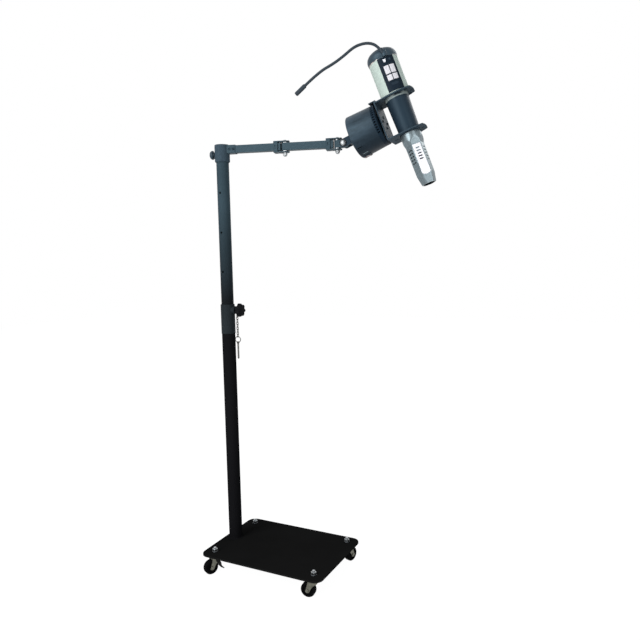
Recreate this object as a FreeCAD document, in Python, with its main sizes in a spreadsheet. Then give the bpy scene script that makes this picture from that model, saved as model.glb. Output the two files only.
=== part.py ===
"""A pet dryer on a rolling stand.

Four swivel casters carry a steel base plate. A telescopic post stands near the plate's -X edge.
On the post a two-part arm folds sideways at two elbows and carries a drum-shaped oscillating
motor, which swings a cradle of two ring plates. A hand-held dryer stands in the cradle.
Millimetres and degrees; Z is up from the floor, X runs along the plate's long side from the
post towards the head, and the origin is on the floor below the middle of the base plate.
"""
import FreeCAD, Part
import Sketcher
import math
import os
from types import SimpleNamespace
from FreeCAD import Placement, Rotation, Vector

X_AXIS = Vector(1, 0, 0)
Y_AXIS = Vector(0, 1, 0)
Z_AXIS = Vector(0, 0, 1)

DIMENSIONS = {
    "plate_length": 376, "plate_width": 270, "plate_thickness": 5, "plate_underside": 55,
    "plate_corner": 24, "stud_inset": 31, "stud_diameter": 8, "stud_end": 73,
    "washer_diameter": 16, "washer_thickness": 1.6, "nut_flats": 13, "nut_height": 6.5,
    "wheel_diameter": 40, "wheel_width": 16, "caster_trail": 15, "fork_width": 22,
    "fork_slot": 18, "fork_top": 51.9, "fork_bridge": 42.5, "swivel_radius": 15,
    "swivel_pin_radius": 6, "axle_radius": 2.5, "lever_thickness": 1.5,
    "running_gap": 0.05, "face_gap": 0.3,
    "post_inset": 30, "lower_tube_radius": 19.05, "upper_tube_radius": 17.5, "tube_wall": 1.5,
    "lower_tube_top": 750, "collar_bottom": 669, "collar_wall": 1, "collar_lip": 2.5,
    "clamp_height": 736, "boss_radius": 11, "boss_reach": 27.5, "screw_radius": 4,
    "upper_tube_bottom": 395, "upper_tube_top": 1188.5, "pin_hole_radius": 3,
    "pin_hole_first": 515, "pin_hole_pitch": 110, "pin_hole_count": 6,
    "sleeve_bottom": 1149.5, "sleeve_top": 1191.5, "sleeve_radius": 21, "cap_thickness": 6,
    "sleeve_knob_height": 1171,
    "arm_height": 1184, "arm_section": 20, "arm_wall": 1.5, "elbow_reach": 180,
    "second_reach": 325.4, "fork_plate_outer": 15.5, "fork_plate": 2.7, "elbow_width": 26, "pivot_radius": 4,
    "link_length": 21.5, "link_width": 18, "cheek_radius": 11, "cheek_outer": 13.3,
    "drum_back": 32, "drum_length": 82.2, "drum_radius": 57.8, "drum_front_radius": 55,
    "drum_wall": 2.5, "vent_band": 11.2, "shaft_radius": 4,
    "cradle_plane": 118.5, "sheet_thickness": 3, "cradle_half_width": 38,
    "dryer_reach": 172, "upper_ring_level": 47, "lower_ring_level": -54.5,
    "upper_bore_radius": 32.2, "lower_bore_radius": 28.9,
    "shell_radius": 38.2, "shell_bottom": 50.4, "shell_top": 143.3, "dome_height": 34.2,
    "shell_wall": 2.5, "neck_radius": 31, "barrel_top": 39.2, "barrel_radius": 30.5,
    "barrel_bottom": -56, "barrel_end_radius": 27.6, "nozzle_tip": -194,
    "strip_angle": 66, "strip_bottom": 52.2, "strip_top": 143, "outlet_radius": 15,
}

ARM_YAW = 17.7
LINK_YAW = -13.6
HEAD_TILT = 20.7
DRYER_TURN = -65
NOZZLE_TURN = -8
CASTER_TURNS = {"caster_1": 242, "caster_2": 187, "caster_3": 75, "caster_4": 150}

doc = FreeCAD.newDocument("pet_dryer")
sheet = doc.addObject("Spreadsheet::Sheet", "dimensions")
for row, (alias, value) in enumerate(DIMENSIONS.items(), start=1):
    sheet.set(f"A{row}", alias)
    sheet.set(f"B{row}", str(value))
    sheet.setAlias(f"B{row}", alias)
doc.recompute()


class Size:
    """A length with its value and the sheet expression that gives it."""

    def __init__(self, value, text):
        self.value = float(value)
        self.text = text

    def __add__(self, other):
        other = as_size(other)
        return Size(self.value + other.value, f"({self.text} + {other.text})")

    def __sub__(self, other):
        other = as_size(other)
        return Size(self.value - other.value, f"({self.text} - {other.text})")

    def __mul__(self, factor):
        return Size(self.value * factor, f"({self.text} * {factor})")

    def __truediv__(self, divisor):
        return Size(self.value / divisor, f"({self.text} / {divisor})")

    def __neg__(self):
        return Size(-self.value, f"(-{self.text})")

    def __radd__(self, other):
        return as_size(other) + self

    def __rsub__(self, other):
        return as_size(other) - self


def as_size(value):
    """A Size from a plain number, or the Size itself."""
    return value if isinstance(value, Size) else Size(value, f"({value})")


dim = SimpleNamespace(**{
    alias: Size(sheet.get(alias), f"dimensions.{alias}") for alias in DIMENSIONS
})

EXPORTS = []


def bind(target, prop, size):
    """Sets a property and ties it to the sheet where its size comes from there."""
    size = as_size(size)
    setattr(target, prop, size.value)
    if "dimensions" in size.text:
        target.setExpression(prop, size.text)


def piece(shape_object, label, placement=Placement()):
    """Names a finished sub-part, puts it in its place and lists it for export."""
    shape_object.Label = label
    shape_object.Placement = placement
    EXPORTS.append(shape_object)
    return shape_object


def new_body(name):
    """An empty solid body, to be filled with features."""
    return doc.addObject("PartDesign::Body", name + "_body")


def origin_feature(body, role):
    """One of the body's own origin planes or axes."""
    return next(item for item in body.Origin.OriginFeatures if item.Role == role)


def new_sketch(body, plane="XY_Plane", height=0, turn=0):
    """A sketch on one of the body's origin planes, moved along the plane's normal. An upright
    plane can also be turned about the body's Z axis."""
    sketch = body.newObject("Sketcher::SketchObject", body.Name + "_sketch")
    sketch.AttachmentSupport = (origin_feature(body, plane), [""])
    sketch.MapMode = "FlatFace"
    height = as_size(height)
    upright = Rotation(Y_AXIS, turn)
    sketch.AttachmentOffset = Placement(upright.multVec(Vector(0, 0, height.value)), upright)
    if "dimensions" in height.text and not turn:
        sketch.setExpression(".AttachmentOffset.Base.z", height.text)
    return sketch


def locate(sketch, geometry, point, x, y):
    """Ties a point of the sketch to its distances from the sketch's origin."""
    for kind, line, size in (("DistanceX", -2, as_size(x)), ("DistanceY", -1, as_size(y))):
        if abs(size.value) < 1e-9:
            sketch.addConstraint(Sketcher.Constraint("PointOnObject", geometry, point, line))
            continue
        number = sketch.addConstraint(
            Sketcher.Constraint(kind, -1, 1, geometry, point, size.value))
        if "dimensions" in size.text:
            sketch.setExpression(f"Constraints[{number}]", size.text)


def flat(x, y):
    """A point of a sketch from two sizes."""
    return Vector(as_size(x).value, as_size(y).value, 0)


def outline(sketch, corners):
    """Draws a closed outline. A corner is (x, y), or (x, y, (mx, my)) where the edge that
    leaves it is an arc through the point (mx, my)."""
    starts = []
    ends = []
    for index, corner in enumerate(corners):
        following = corners[(index + 1) % len(corners)]
        start = flat(*corner[:2])
        end = flat(*following[:2])
        if len(corner) == 2:
            number = sketch.addGeometry(Part.LineSegment(start, end), False)
            starts.append((number, 1))
            ends.append((number, 2))
            continue
        middle = flat(*corner[2])
        number = sketch.addGeometry(Part.Arc(start, middle, end), False)
        forward = (middle - start).cross(end - start).z > 0
        starts.append((number, 1 if forward else 2))
        ends.append((number, 2 if forward else 1))
        centre = sketch.Geometry[number].Center
        chord = end - start
        kind, value = ("DistanceX", centre.x) if abs(chord.y) > abs(chord.x) else ("DistanceY", centre.y)
        sketch.addConstraint(Sketcher.Constraint(kind, -1, 1, number, 3, value))
    for index, corner in enumerate(corners):
        sketch.addConstraint(Sketcher.Constraint("Coincident", *ends[index - 1], *starts[index]))
        locate(sketch, *starts[index], *corner[:2])


def circle(sketch, x, y, radius):
    """Draws a circle whose centre and radius follow the sheet."""
    radius = as_size(radius)
    number = sketch.addGeometry(Part.Circle(flat(x, y), Z_AXIS, radius.value), False)
    locate(sketch, number, 3, x, y)
    size = sketch.addConstraint(Sketcher.Constraint("Radius", number, radius.value))
    if "dimensions" in radius.text:
        sketch.setExpression(f"Constraints[{size}]", radius.text)


def rectangle(sketch, left, right, bottom, top):
    """Draws an upright rectangle from its four sides."""
    outline(sketch, [(left, bottom), (right, bottom), (right, top), (left, top)])


def polygon(sketch, sides, flats_radius, turn=0):
    """Draws a regular polygon around the origin from the radius to its flats."""
    corner_radius = flats_radius / math.cos(math.pi / sides)
    outline(sketch, [
        (corner_radius * math.cos(math.radians(turn) + 2 * math.pi * step / sides),
         corner_radius * math.sin(math.radians(turn) + 2 * math.pi * step / sides))
        for step in range(sides)])


def pad(body, sketch, length, symmetric=False, reverse=False):
    """Adds a straight extrusion of the sketch."""
    feature = body.newObject("PartDesign::Pad", body.Name + "_pad")
    feature.Profile = sketch
    bind(feature, "Length", length)
    feature.SideType = "Symmetric" if symmetric else "One side"
    feature.Reversed = reverse
    doc.recompute()
    return feature


def pocket(body, sketch, length, symmetric=False, reverse=False):
    """Cuts a straight extrusion of the sketch, and makes sure that it removed something."""
    before = body.Shape.Volume
    feature = body.newObject("PartDesign::Pocket", body.Name + "_pocket")
    feature.Profile = sketch
    bind(feature, "Length", length)
    feature.SideType = "Symmetric" if symmetric else "One side"
    feature.Reversed = reverse
    doc.recompute()
    if body.Shape.Volume > before - 1e-3:
        raise ValueError(f"{feature.Name} cut nothing")
    return feature


def turned(body, sketch, angle=360, cut=False, axis="V_Axis"):
    """Turns the sketch about its upright or level axis, to add or to cut material."""
    kind = "PartDesign::Groove" if cut else "PartDesign::Revolution"
    before = body.Shape.Volume if cut else 0
    feature = body.newObject(kind, body.Name + "_turn")
    feature.Profile = sketch
    feature.ReferenceAxis = (sketch, [axis])
    bind(feature, "Angle", angle)
    feature.Midplane = as_size(angle).value < 360
    doc.recompute()
    if cut and body.Shape.Volume > before - 1e-3:
        raise ValueError(f"{feature.Name} cut nothing")
    return feature


def around(body, feature, count, angle=360):
    """Repeats a feature around the body's Z axis."""
    pattern = body.newObject("PartDesign::PolarPattern", body.Name + "_around")
    pattern.Originals = [feature]
    pattern.Axis = (origin_feature(body, "Z_Axis"), [""])
    pattern.Angle = angle
    pattern.Occurrences = count
    body.Tip = pattern
    doc.recompute()
    return pattern


def along(body, feature, count, length, direction="Z_Axis"):
    """Repeats a feature along one of the body's axes."""
    pattern = body.newObject("PartDesign::LinearPattern", body.Name + "_along")
    pattern.Originals = [feature]
    pattern.Direction = (origin_feature(body, direction), [""])
    bind(pattern, "Length", length)
    pattern.Occurrences = int(count)
    body.Tip = pattern
    doc.recompute()
    return pattern


def mirrored(body, feature, plane):
    """Repeats a feature on the other side of one of the body's origin planes."""
    pattern = body.newObject("PartDesign::Mirrored", body.Name + "_mirror")
    pattern.Originals = [feature]
    pattern.MirrorPlane = (origin_feature(body, plane), [""])
    body.Tip = pattern
    doc.recompute()
    return pattern


def rounded(body, radius, choose, chamfer=False):
    """Rounds or bevels the edges of the body's last feature that the test picks."""
    doc.recompute()
    last = body.Tip
    names = [f"Edge{number}" for number, edge in enumerate(last.Shape.Edges, start=1) if choose(edge)]
    if not names:
        raise ValueError(f"{body.Name} has no edge to round")
    kind = "Chamfer" if chamfer else "Fillet"
    feature = body.newObject(f"PartDesign::{kind}", body.Name + "_" + kind.lower())
    feature.Base = (last, names)
    bind(feature, "Size" if chamfer else "Radius", radius)
    doc.recompute()
    return feature


def ring(name, profile):
    """A body turned about Z from a profile of (radius, height) corners."""
    body = new_body(name)
    sketch = new_sketch(body, "XZ_Plane")
    outline(sketch, profile)
    turned(body, sketch)
    return body


def at_level(height):
    """A test for edges that lie whole at a height."""
    def test(edge):
        box = edge.BoundBox
        return abs(box.ZMin - height) < 1e-3 and abs(box.ZMax - height) < 1e-3
    return test


def group(label, members):
    """Several separate solids under one name."""
    holder = doc.addObject("Part::Compound", label + "_group")
    holder.Links = members
    doc.recompute()
    return piece(holder, label)


# Frames: the post, the arm, the link behind the second elbow, the head and the dryer.

PLATE_TOP = dim.plate_underside + dim.plate_thickness
POST_X = -(dim.plate_length / 2 - dim.post_inset)
POST = Placement(Vector(POST_X.value, 0, 0), Rotation())
ARM = Placement(Vector(POST_X.value, 0, dim.arm_height.value), Rotation(Z_AXIS, ARM_YAW))
LINK = ARM * Placement(Vector(dim.second_reach.value, 0, 0), Rotation(Z_AXIS, LINK_YAW))
HEAD = LINK * Placement(Vector(dim.link_length.value, 0, 0), Rotation(Y_AXIS, -HEAD_TILT))
DRYER = HEAD * Placement(Vector(dim.dryer_reach.value, 0, 0), Rotation(Z_AXIS, DRYER_TURN))
NOZZLE = DRYER * Placement(Vector(), Rotation(Z_AXIS, NOZZLE_TURN))
STUD_X = dim.plate_length / 2 - dim.stud_inset
STUD_Y = dim.plate_width / 2 - dim.stud_inset
STUDS = {"caster_1": (-1, -1), "caster_2": (1, -1), "caster_3": (1, 1), "caster_4": (-1, 1)}


def stud_place(name, turn=0):
    """The place of a caster's swivel axis on the floor."""
    side_x, side_y = STUDS[name]
    return Placement(
        Vector(side_x * STUD_X.value, side_y * STUD_Y.value, 0), Rotation(Z_AXIS, turn))


# Base plate with its four stud holes

def make_base_plate():
    body = new_body("base_plate")
    sketch = new_sketch(body, height=dim.plate_underside)
    half_x = dim.plate_length / 2
    half_y = dim.plate_width / 2
    corner = dim.plate_corner
    slack = corner * (1 - math.sqrt(0.5))
    outline(sketch, [
        (-half_x + corner, -half_y),
        (half_x - corner, -half_y, (half_x - slack, -half_y + slack)),
        (half_x, -half_y + corner),
        (half_x, half_y - corner, (half_x - slack, half_y - slack)),
        (half_x - corner, half_y),
        (-half_x + corner, half_y, (-half_x + slack, half_y - slack)),
        (-half_x, half_y - corner),
        (-half_x, -half_y + corner, (-half_x + slack, -half_y + slack))])
    for side_x, side_y in STUDS.values():
        circle(sketch, STUD_X * side_x, STUD_Y * side_y, dim.stud_diameter / 2 + 0.1)
    pad(body, sketch, dim.plate_thickness)
    rounded(body, 1, lambda edge: edge.BoundBox.DiagonalLength > 20 and at_level(PLATE_TOP.value)(edge))
    piece(body, "base_plate")


# Caster studs: threaded end above the plate, raceway flange below it and a riveted swivel pin

def make_caster_stud(name):
    stud = dim.stud_diameter / 2
    pin = dim.swivel_pin_radius
    flange_bottom = dim.fork_top + dim.face_gap
    rivet_top = dim.fork_bridge - dim.face_gap
    rivet_bottom = rivet_top - 1.7
    body = ring(name + "_stud", [
        (0, rivet_bottom), (pin + 1, rivet_bottom), (pin + 2, rivet_bottom + 1), (pin + 2, rivet_top),
        (pin, rivet_top), (pin, flange_bottom), (dim.swivel_radius, flange_bottom),
        (dim.swivel_radius, dim.plate_underside), (stud, dim.plate_underside),
        (stud, dim.stud_end - 1), (stud - 1, dim.stud_end), (0, dim.stud_end)])
    body.Placement = stud_place(name)
    return body


def make_washer(name):
    inner = dim.stud_diameter / 2
    outer = dim.washer_diameter / 2
    top = PLATE_TOP + dim.washer_thickness
    body = ring(name + "_washer", [(inner, PLATE_TOP), (outer, PLATE_TOP), (outer, top), (inner, top)])
    body.Placement = stud_place(name)
    return body


def make_nut(name):
    body = new_body(name + "_nut")
    sketch = new_sketch(body, height=PLATE_TOP + dim.washer_thickness)
    polygon(sketch, 6, dim.nut_flats / 2)
    circle(sketch, 0, 0, dim.stud_diameter / 2)
    pad(body, sketch, dim.nut_height)
    body.Placement = stud_place(name, 11)
    return body


BRAKED = "caster_1"
BRAKE_PIVOT_HEIGHT = 36
BRAKE_PIN_RADIUS = 1.3


# Caster fork: a swivel hub and two waisted cheeks around the wheel, with its riveted axle

def make_caster_fork(name):
    body = ring(name + "_fork", [
        (0, dim.fork_bridge), (dim.swivel_radius - 3, dim.fork_bridge),
        (dim.swivel_radius, dim.fork_bridge + 4), (dim.swivel_radius, dim.fork_top), (0, dim.fork_top)])
    trail = dim.caster_trail
    axle_height = dim.wheel_diameter / 2
    boss = 6.5
    cheeks = new_sketch(body, "XZ_Plane")
    outline(cheeks, [
        (-13.5, dim.fork_bridge + 4), (-12.5, dim.fork_bridge - 1, (0.5, 31.5)),
        (trail - 6.2, axle_height - 2, (trail, axle_height - boss)),
        (trail + 6.2, axle_height - 2, (trail + 1.2, 32)),
        (13.5, dim.fork_bridge + 1), (13.5, dim.fork_bridge + 4)])
    pad(body, cheeks, dim.fork_width, symmetric=True)
    slot = new_sketch(body, "YZ_Plane", -20)
    rectangle(slot, -dim.fork_slot / 2, dim.fork_slot / 2, 5, dim.fork_bridge)
    pocket(body, slot, 60, reverse=True)
    bore = new_sketch(body, height=dim.fork_top)
    circle(bore, 0, 0, dim.swivel_pin_radius + dim.running_gap)
    pocket(body, bore, 12)
    if name == BRAKED:
        pivot = new_sketch(body, "XZ_Plane")
        circle(pivot, 0, BRAKE_PIVOT_HEIGHT, BRAKE_PIN_RADIUS + dim.running_gap)
        pocket(body, pivot, dim.fork_width + 2, symmetric=True)
    axle = new_sketch(body, "XZ_Plane")
    circle(axle, trail, axle_height, dim.axle_radius)
    pad(body, axle, dim.fork_width + 1, symmetric=True)
    for side, reverse in ((1, True), (-1, False)):
        head = new_sketch(body, "XZ_Plane", dim.fork_width * (-side / 2))
        circle(head, trail, axle_height, 4.2)
        pad(body, head, 2.2, reverse=reverse)
    ends = dim.fork_width.value / 2 + 2.2
    rounded(body, 1.6, lambda edge: abs(abs(edge.BoundBox.YMin) - ends) < 1e-3
            and edge.BoundBox.YLength < 1e-3)
    piece(body, name.replace("caster", "caster_fork"), stud_place(name, CASTER_TURNS[name]))


# Caster wheel: a crowned tread on a recessed disc, around the axle

def make_caster_wheel(name):
    radius = dim.wheel_diameter / 2
    half = dim.wheel_width / 2
    bore = dim.axle_radius + dim.running_gap
    body = ring(name + "_wheel", [
        (bore, -half - 0.6), (6, -half - 0.6), (6, -half + 3), (13.5, -half + 3), (14, -half),
        (radius - 3, -half, (radius - 0.9, -half + 0.9)), (radius, -half + 3), (radius, half - 3,
        (radius - 0.9, half - 0.9)), (radius - 3, half), (14, half), (13.5, half - 3), (6, half - 3),
        (6, half + 0.6), (bore, half + 0.6)])
    place = stud_place(name, CASTER_TURNS[name])
    place = place * Placement(Vector(dim.caster_trail.value, 0, radius.value), Rotation(X_AXIS, 90))
    piece(body, name.replace("caster", "caster_wheel"), place)


# Brake lever of the first caster: two arms on the fork, a shoe over the tread and a pedal

def make_brake_lever():
    body = new_body("brake_lever")
    inner = dim.fork_width / 2 + dim.face_gap
    outer = inner + dim.lever_thickness
    side = new_sketch(body, "XZ_Plane")
    outline(side, [
        (-5, 41, (1.2, 40.6)), (2.6, 35, (-0.5, 31.6)), (-6.5, 27), (-9.5, 16), (-21, 8), (-22, 9.5),
        (-13, 19), (-11.5, 30)])
    pad(body, side, outer * 2, symmetric=True)
    middle = new_sketch(body, "YZ_Plane", -12)
    rectangle(middle, -inner, inner, 20, 45)
    pocket(body, middle, 20, reverse=True)
    shoe = new_sketch(body, "XZ_Plane")
    outline(shoe, [(-13, 19), (-7.9, 19), (-7.9, 24), (-12.4, 24)])
    pad(body, shoe, inner * 2, symmetric=True)
    narrow = new_sketch(body, "XY_Plane", 0)
    for sign in (1, -1):
        outline(narrow, [(-30, 7 * sign), (-10.5, 15 * sign), (-30, 15 * sign)])
    pocket(body, narrow, 30, reverse=True)
    pin = new_sketch(body, "XZ_Plane")
    circle(pin, 0, BRAKE_PIVOT_HEIGHT, BRAKE_PIN_RADIUS)
    pad(body, pin, outer * 2 + 1.2, symmetric=True)
    piece(body, "brake_lever", stud_place(BRAKED, CASTER_TURNS[BRAKED]))


# Lower tube with its weld bead on the plate, and the hole that the clamp screw passes

def make_lower_tube():
    outer = dim.lower_tube_radius
    inner = outer - dim.tube_wall
    bead = 4
    body = ring("lower_tube", [
        (inner, PLATE_TOP), (outer + bead, PLATE_TOP, (outer + 1.2, PLATE_TOP + 1.2)),
        (outer, PLATE_TOP + bead), (outer, dim.lower_tube_top), (inner, dim.lower_tube_top)])
    hole = new_sketch(body, "YZ_Plane", 5)
    circle(hole, 0, dim.clamp_height, dim.screw_radius + 0.5)
    pocket(body, hole, 30, reverse=True)
    piece(body, "lower_tube", POST)


# Clamp collar: a thick ring over the tube's mouth, with a threaded boss for the clamp screw

def make_collar():
    body = new_body("collar")
    outer = dim.lower_tube_radius + dim.collar_wall
    top = dim.lower_tube_top + dim.collar_lip
    wall = new_sketch(body, height=dim.collar_bottom)
    circle(wall, 0, 0, outer)
    pad(body, wall, top - dim.collar_bottom)
    boss = new_sketch(body, "YZ_Plane")
    circle(boss, 0, dim.clamp_height, dim.boss_radius)
    pad(body, boss, dim.boss_reach)
    rounded(body, 1.5, lambda edge: abs(edge.BoundBox.XMin - dim.boss_reach.value) < 1e-3)
    bore = new_sketch(body, height=dim.collar_bottom)
    circle(bore, 0, 0, dim.lower_tube_radius)
    pocket(body, bore, dim.lower_tube_top - dim.collar_bottom, reverse=True)
    mouth = new_sketch(body, height=top)
    circle(mouth, 0, 0, dim.upper_tube_radius + dim.running_gap)
    pocket(body, mouth, 10)
    thread = new_sketch(body, "YZ_Plane", 5)
    circle(thread, 0, dim.clamp_height, dim.screw_radius + dim.running_gap)
    pocket(body, thread, 40, reverse=True)
    rounded(body, 0.8, lambda edge: at_level(top.value)(edge) and edge.BoundBox.XLength > 39, chamfer=True)
    piece(body, "collar", POST)


# Clamp screw and its scalloped knob, both turning about the screw's axis, which lies along +X

def make_height_knob():
    along_x = POST * Placement(Vector(0, 0, dim.clamp_height.value), Rotation(Y_AXIS, 90))
    tip = dim.upper_tube_radius + dim.face_gap
    shaft = dim.screw_radius
    screw = ring("clamp_screw", [
        (0, tip), (shaft - 1, tip), (shaft, tip + 1), (shaft, 40), (0, 40)])
    piece(screw, "clamp_screw", along_x)
    face = 34
    radius = 17.5
    knob = ring("height_knob", [
        (shaft, face + 1), (8, face + 1), (8, face + 2),
        (radius - 1.5, face + 2, (radius - 0.4, face + 2.4)),
        (radius, face + 3.5), (radius, face + 11.5, (radius - 1.2, face + 14)),
        (radius - 4, face + 15.5), (9, face + 16.5), (0, face + 16.5), (0, 40), (shaft, 40)])
    scallop = new_sketch(knob, height=face)
    circle(scallop, radius + 2.4, 0, 5)
    notch = pocket(knob, scallop, 20, reverse=True)
    around(knob, notch, 7)
    piece(knob, "height_knob", along_x)


# Chain of twisted links from the clamp screw, with the split ring and the lock pin it keeps

CHAIN_X = 31.7
LINK_WIRE = 0.85
LINK_LENGTH = 10.6
LINK_WIDTH = 6.6
CHAIN_LINKS = 10


def stadium(length, width, wire):
    """A wire link along Z: two half turns joined by two straight sides."""
    radius = width / 2 - wire
    half = length / 2 - wire - radius
    points = [Vector(radius, 0, -half), Vector(radius, 0, half), Vector(0, 0, half + radius),
              Vector(-radius, 0, half), Vector(-radius, 0, -half), Vector(0, 0, -half - radius)]
    path = Part.Wire([
        Part.LineSegment(points[0], points[1]).toShape(),
        Part.Arc(points[1], points[2], points[3]).toShape(),
        Part.LineSegment(points[3], points[4]).toShape(),
        Part.Arc(points[4], points[5], points[0]).toShape()])
    section = Part.Wire([Part.makeCircle(wire, points[0], Z_AXIS)])
    return path.makePipeShell([section], True, False)


def make_chain():
    top = dim.clamp_height.value
    eye_radius = dim.screw_radius.value + 2.15
    eye_drop = 0.9
    eye = Part.makeTorus(eye_radius, LINK_WIRE, Vector(CHAIN_X, 0, top - eye_drop), X_AXIS)
    play = 0.12
    pitch = LINK_LENGTH - 4 * LINK_WIRE - play
    first = top - eye_drop - eye_radius + 3 * LINK_WIRE + play - LINK_LENGTH / 2
    links = []
    for number in range(CHAIN_LINKS):
        link = stadium(LINK_LENGTH, LINK_WIDTH, LINK_WIRE)
        turn = Rotation(Z_AXIS, 0 if number % 2 == 0 else 90)
        link.Placement = Placement(Vector(CHAIN_X, 0, first - pitch * number), turn)
        links.append(link)
    chain = doc.addObject("Part::Feature", "pin_chain_solids")
    chain.Shape = Part.makeCompound([eye] + links)
    piece(chain, "pin_chain", POST)
    ring_radius = 8.4
    last = first - pitch * (CHAIN_LINKS - 1) - LINK_LENGTH / 2
    ring_centre = last + 3 * LINK_WIRE + play - ring_radius
    split = doc.addObject("Part::Torus", "split_ring_torus")
    split.Radius1 = ring_radius
    split.Radius2 = LINK_WIRE
    piece(split, "split_ring", POST * Placement(
        Vector(CHAIN_X, 0, ring_centre), Rotation(X_AXIS, 90)))
    head = ring_centre - ring_radius + 3.2
    pin = ring("lock_pin", [
        (0, head - 50), (1.2, head - 50), (2.5, head - 47.5), (2.5, head - 6), (3.6, head - 5),
        (3.6, head - 1), (2.6, head), (0, head)])
    eyelet = new_sketch(pin, "XZ_Plane")
    circle(eyelet, 0, head - 2.8, 1.6)
    pocket(pin, eyelet, 20, symmetric=True)
    piece(pin, "lock_pin", POST * Placement(Vector(CHAIN_X, 0, 0), Rotation(Z_AXIS, 90)))


# Upper tube with a row of holes for the lock pin

def make_upper_tube():
    outer = dim.upper_tube_radius
    inner = outer - dim.tube_wall
    body = ring("upper_tube", [
        (inner, dim.upper_tube_bottom), (outer, dim.upper_tube_bottom),
        (outer, dim.upper_tube_top), (inner, dim.upper_tube_top)])
    hole = new_sketch(body, "XZ_Plane")
    circle(hole, 0, dim.pin_hole_first, dim.pin_hole_radius)
    first = pocket(body, hole, 60, symmetric=True)
    count = int(dim.pin_hole_count.value)
    along(body, first, count, dim.pin_hole_pitch * (count - 1))
    piece(body, "upper_tube", POST)


# Swivel sleeve around the top of the upper tube, and the plug cap that closes it

def make_swivel():
    outer = dim.sleeve_radius
    inner = dim.upper_tube_radius + dim.running_gap
    bottom = dim.sleeve_bottom - dim.arm_height
    top = dim.sleeve_top - dim.arm_height
    sleeve = ring("swivel_sleeve", [
        (inner, bottom), (outer - 2, bottom), (outer, bottom + 2.5), (outer, top), (inner, top)])
    hole = new_sketch(sleeve, "YZ_Plane", -5)
    circle(hole, 0, dim.sleeve_knob_height - dim.arm_height, dim.screw_radius + dim.running_gap)
    pocket(sleeve, hole, 30)
    piece(sleeve, "swivel_sleeve", ARM)
    plug_bottom = dim.upper_tube_top + dim.face_gap - dim.arm_height
    cap = ring("sleeve_cap", [
        (0, plug_bottom), (inner, plug_bottom), (inner, top), (outer - 0.2, top),
        (outer - 0.2, top + dim.cap_thickness - 1.5, (outer - 0.6, top + dim.cap_thickness - 0.4)),
        (outer - 1.6, top + dim.cap_thickness), (0, top + dim.cap_thickness)])
    piece(cap, "sleeve_cap", ARM)


BRACKET_SCREWS = (24, 35)
BRACKET_END = 41
BRACKET_HALF = 12.5


# Arm bracket: a U-shaped saddle that grips the sleeve and the first arm tube

def make_arm_bracket():
    body = new_body("arm_bracket")
    half = dim.arm_section / 2
    top_view = new_sketch(body, height=-11.5)
    outline(top_view, [
        (10, -BRACKET_HALF), (BRACKET_END - 4, -BRACKET_HALF), (BRACKET_END, -half - 1),
        (BRACKET_END, half + 1), (BRACKET_END - 4, BRACKET_HALF), (10, BRACKET_HALF)])
    pad(body, top_view, 23)
    socket = new_sketch(body, "YZ_Plane", 23)
    rectangle(socket, -half, half, -half, half)
    pocket(body, socket, 30, reverse=True)
    seat = new_sketch(body, height=20)
    circle(seat, 0, 0, dim.sleeve_radius)
    pocket(body, seat, 40)
    for reach in BRACKET_SCREWS:
        bore = new_sketch(body, "XZ_Plane", 5)
        circle(bore, reach, 0, 2)
        pocket(body, bore, 30, reverse=True)
    rounded(body, 2, lambda edge: edge.BoundBox.XLength > 8 and edge.BoundBox.YLength < 1e-3
            and abs(abs(edge.BoundBox.YMin) - BRACKET_HALF) < 1e-3 and abs(edge.BoundBox.ZMin) > 11)
    piece(body, "arm_bracket", ARM)


def pan_screw(name, head_radius, head_height, shank, shank_radius=2.0, recess=1.2):
    """A pan-head screw along Z whose head rests on z = 0 and whose shank runs down."""
    body = ring(name, [
        (0, -shank), (shank_radius, -shank), (shank_radius, 0), (head_radius, 0),
        (head_radius, head_height - 0.6), (head_radius - 0.8, head_height), (0, head_height)])
    driver = new_sketch(body, height=head_height)
    polygon(driver, 6, recess)
    pocket(body, driver, head_height * 0.6)
    return body


def make_bracket_screws():
    screws = []
    for number, reach in enumerate(BRACKET_SCREWS):
        screw = pan_screw(f"bracket_screw_{number}", 3.4, 1.8, 4.2)
        screw.Placement = ARM * Placement(Vector(reach, -BRACKET_HALF, 0), Rotation(X_AXIS, 90))
        screws.append(screw)
    group("bracket_screws", screws)


# Arm tubes: square tubes, the second one with a rounded solid end that turns in the elbow

FORK_BACK = 31
SOCKET_END = 19
TUBE_STOP = 11
FORK_SCREW = 15.5


def square_tube(body, start, end):
    """A square tube along X between two reaches."""
    half = dim.arm_section / 2
    inner = half - dim.arm_wall
    section = new_sketch(body, "YZ_Plane", start)
    rectangle(section, -half, half, -half, half)
    rectangle(section, -inner, inner, -inner, inner)
    pad(body, section, end - start)


def screw_holes(body, reach, upright):
    """Two screw holes through opposite walls at a reach along the tube."""
    sketch = new_sketch(body, "XY_Plane" if upright else "XZ_Plane")
    circle(sketch, reach, 0, 2)
    pocket(body, sketch, 60, symmetric=True)


def make_arm_tube_1():
    body = new_body("arm_tube_1")
    square_tube(body, as_size(23), dim.elbow_reach - TUBE_STOP)
    half = dim.arm_section / 2
    for reach in BRACKET_SCREWS:
        near = new_sketch(body, "XZ_Plane")
        circle(near, reach, 0, 2)
        pocket(body, near, half + 1, reverse=True)
    screw_holes(body, dim.elbow_reach - FORK_SCREW, True)
    piece(body, "arm_tube_1", ARM)


def tongue(body, length):
    """A solid end around the origin with a rounded nose, bored for the elbow bolt."""
    half = dim.arm_section / 2
    nose = new_sketch(body, height=-half)
    outline(nose, [(0, half, (-half, 0)), (0, -half), (length, -half), (length, half)])
    pad(body, nose, dim.arm_section)


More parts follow.
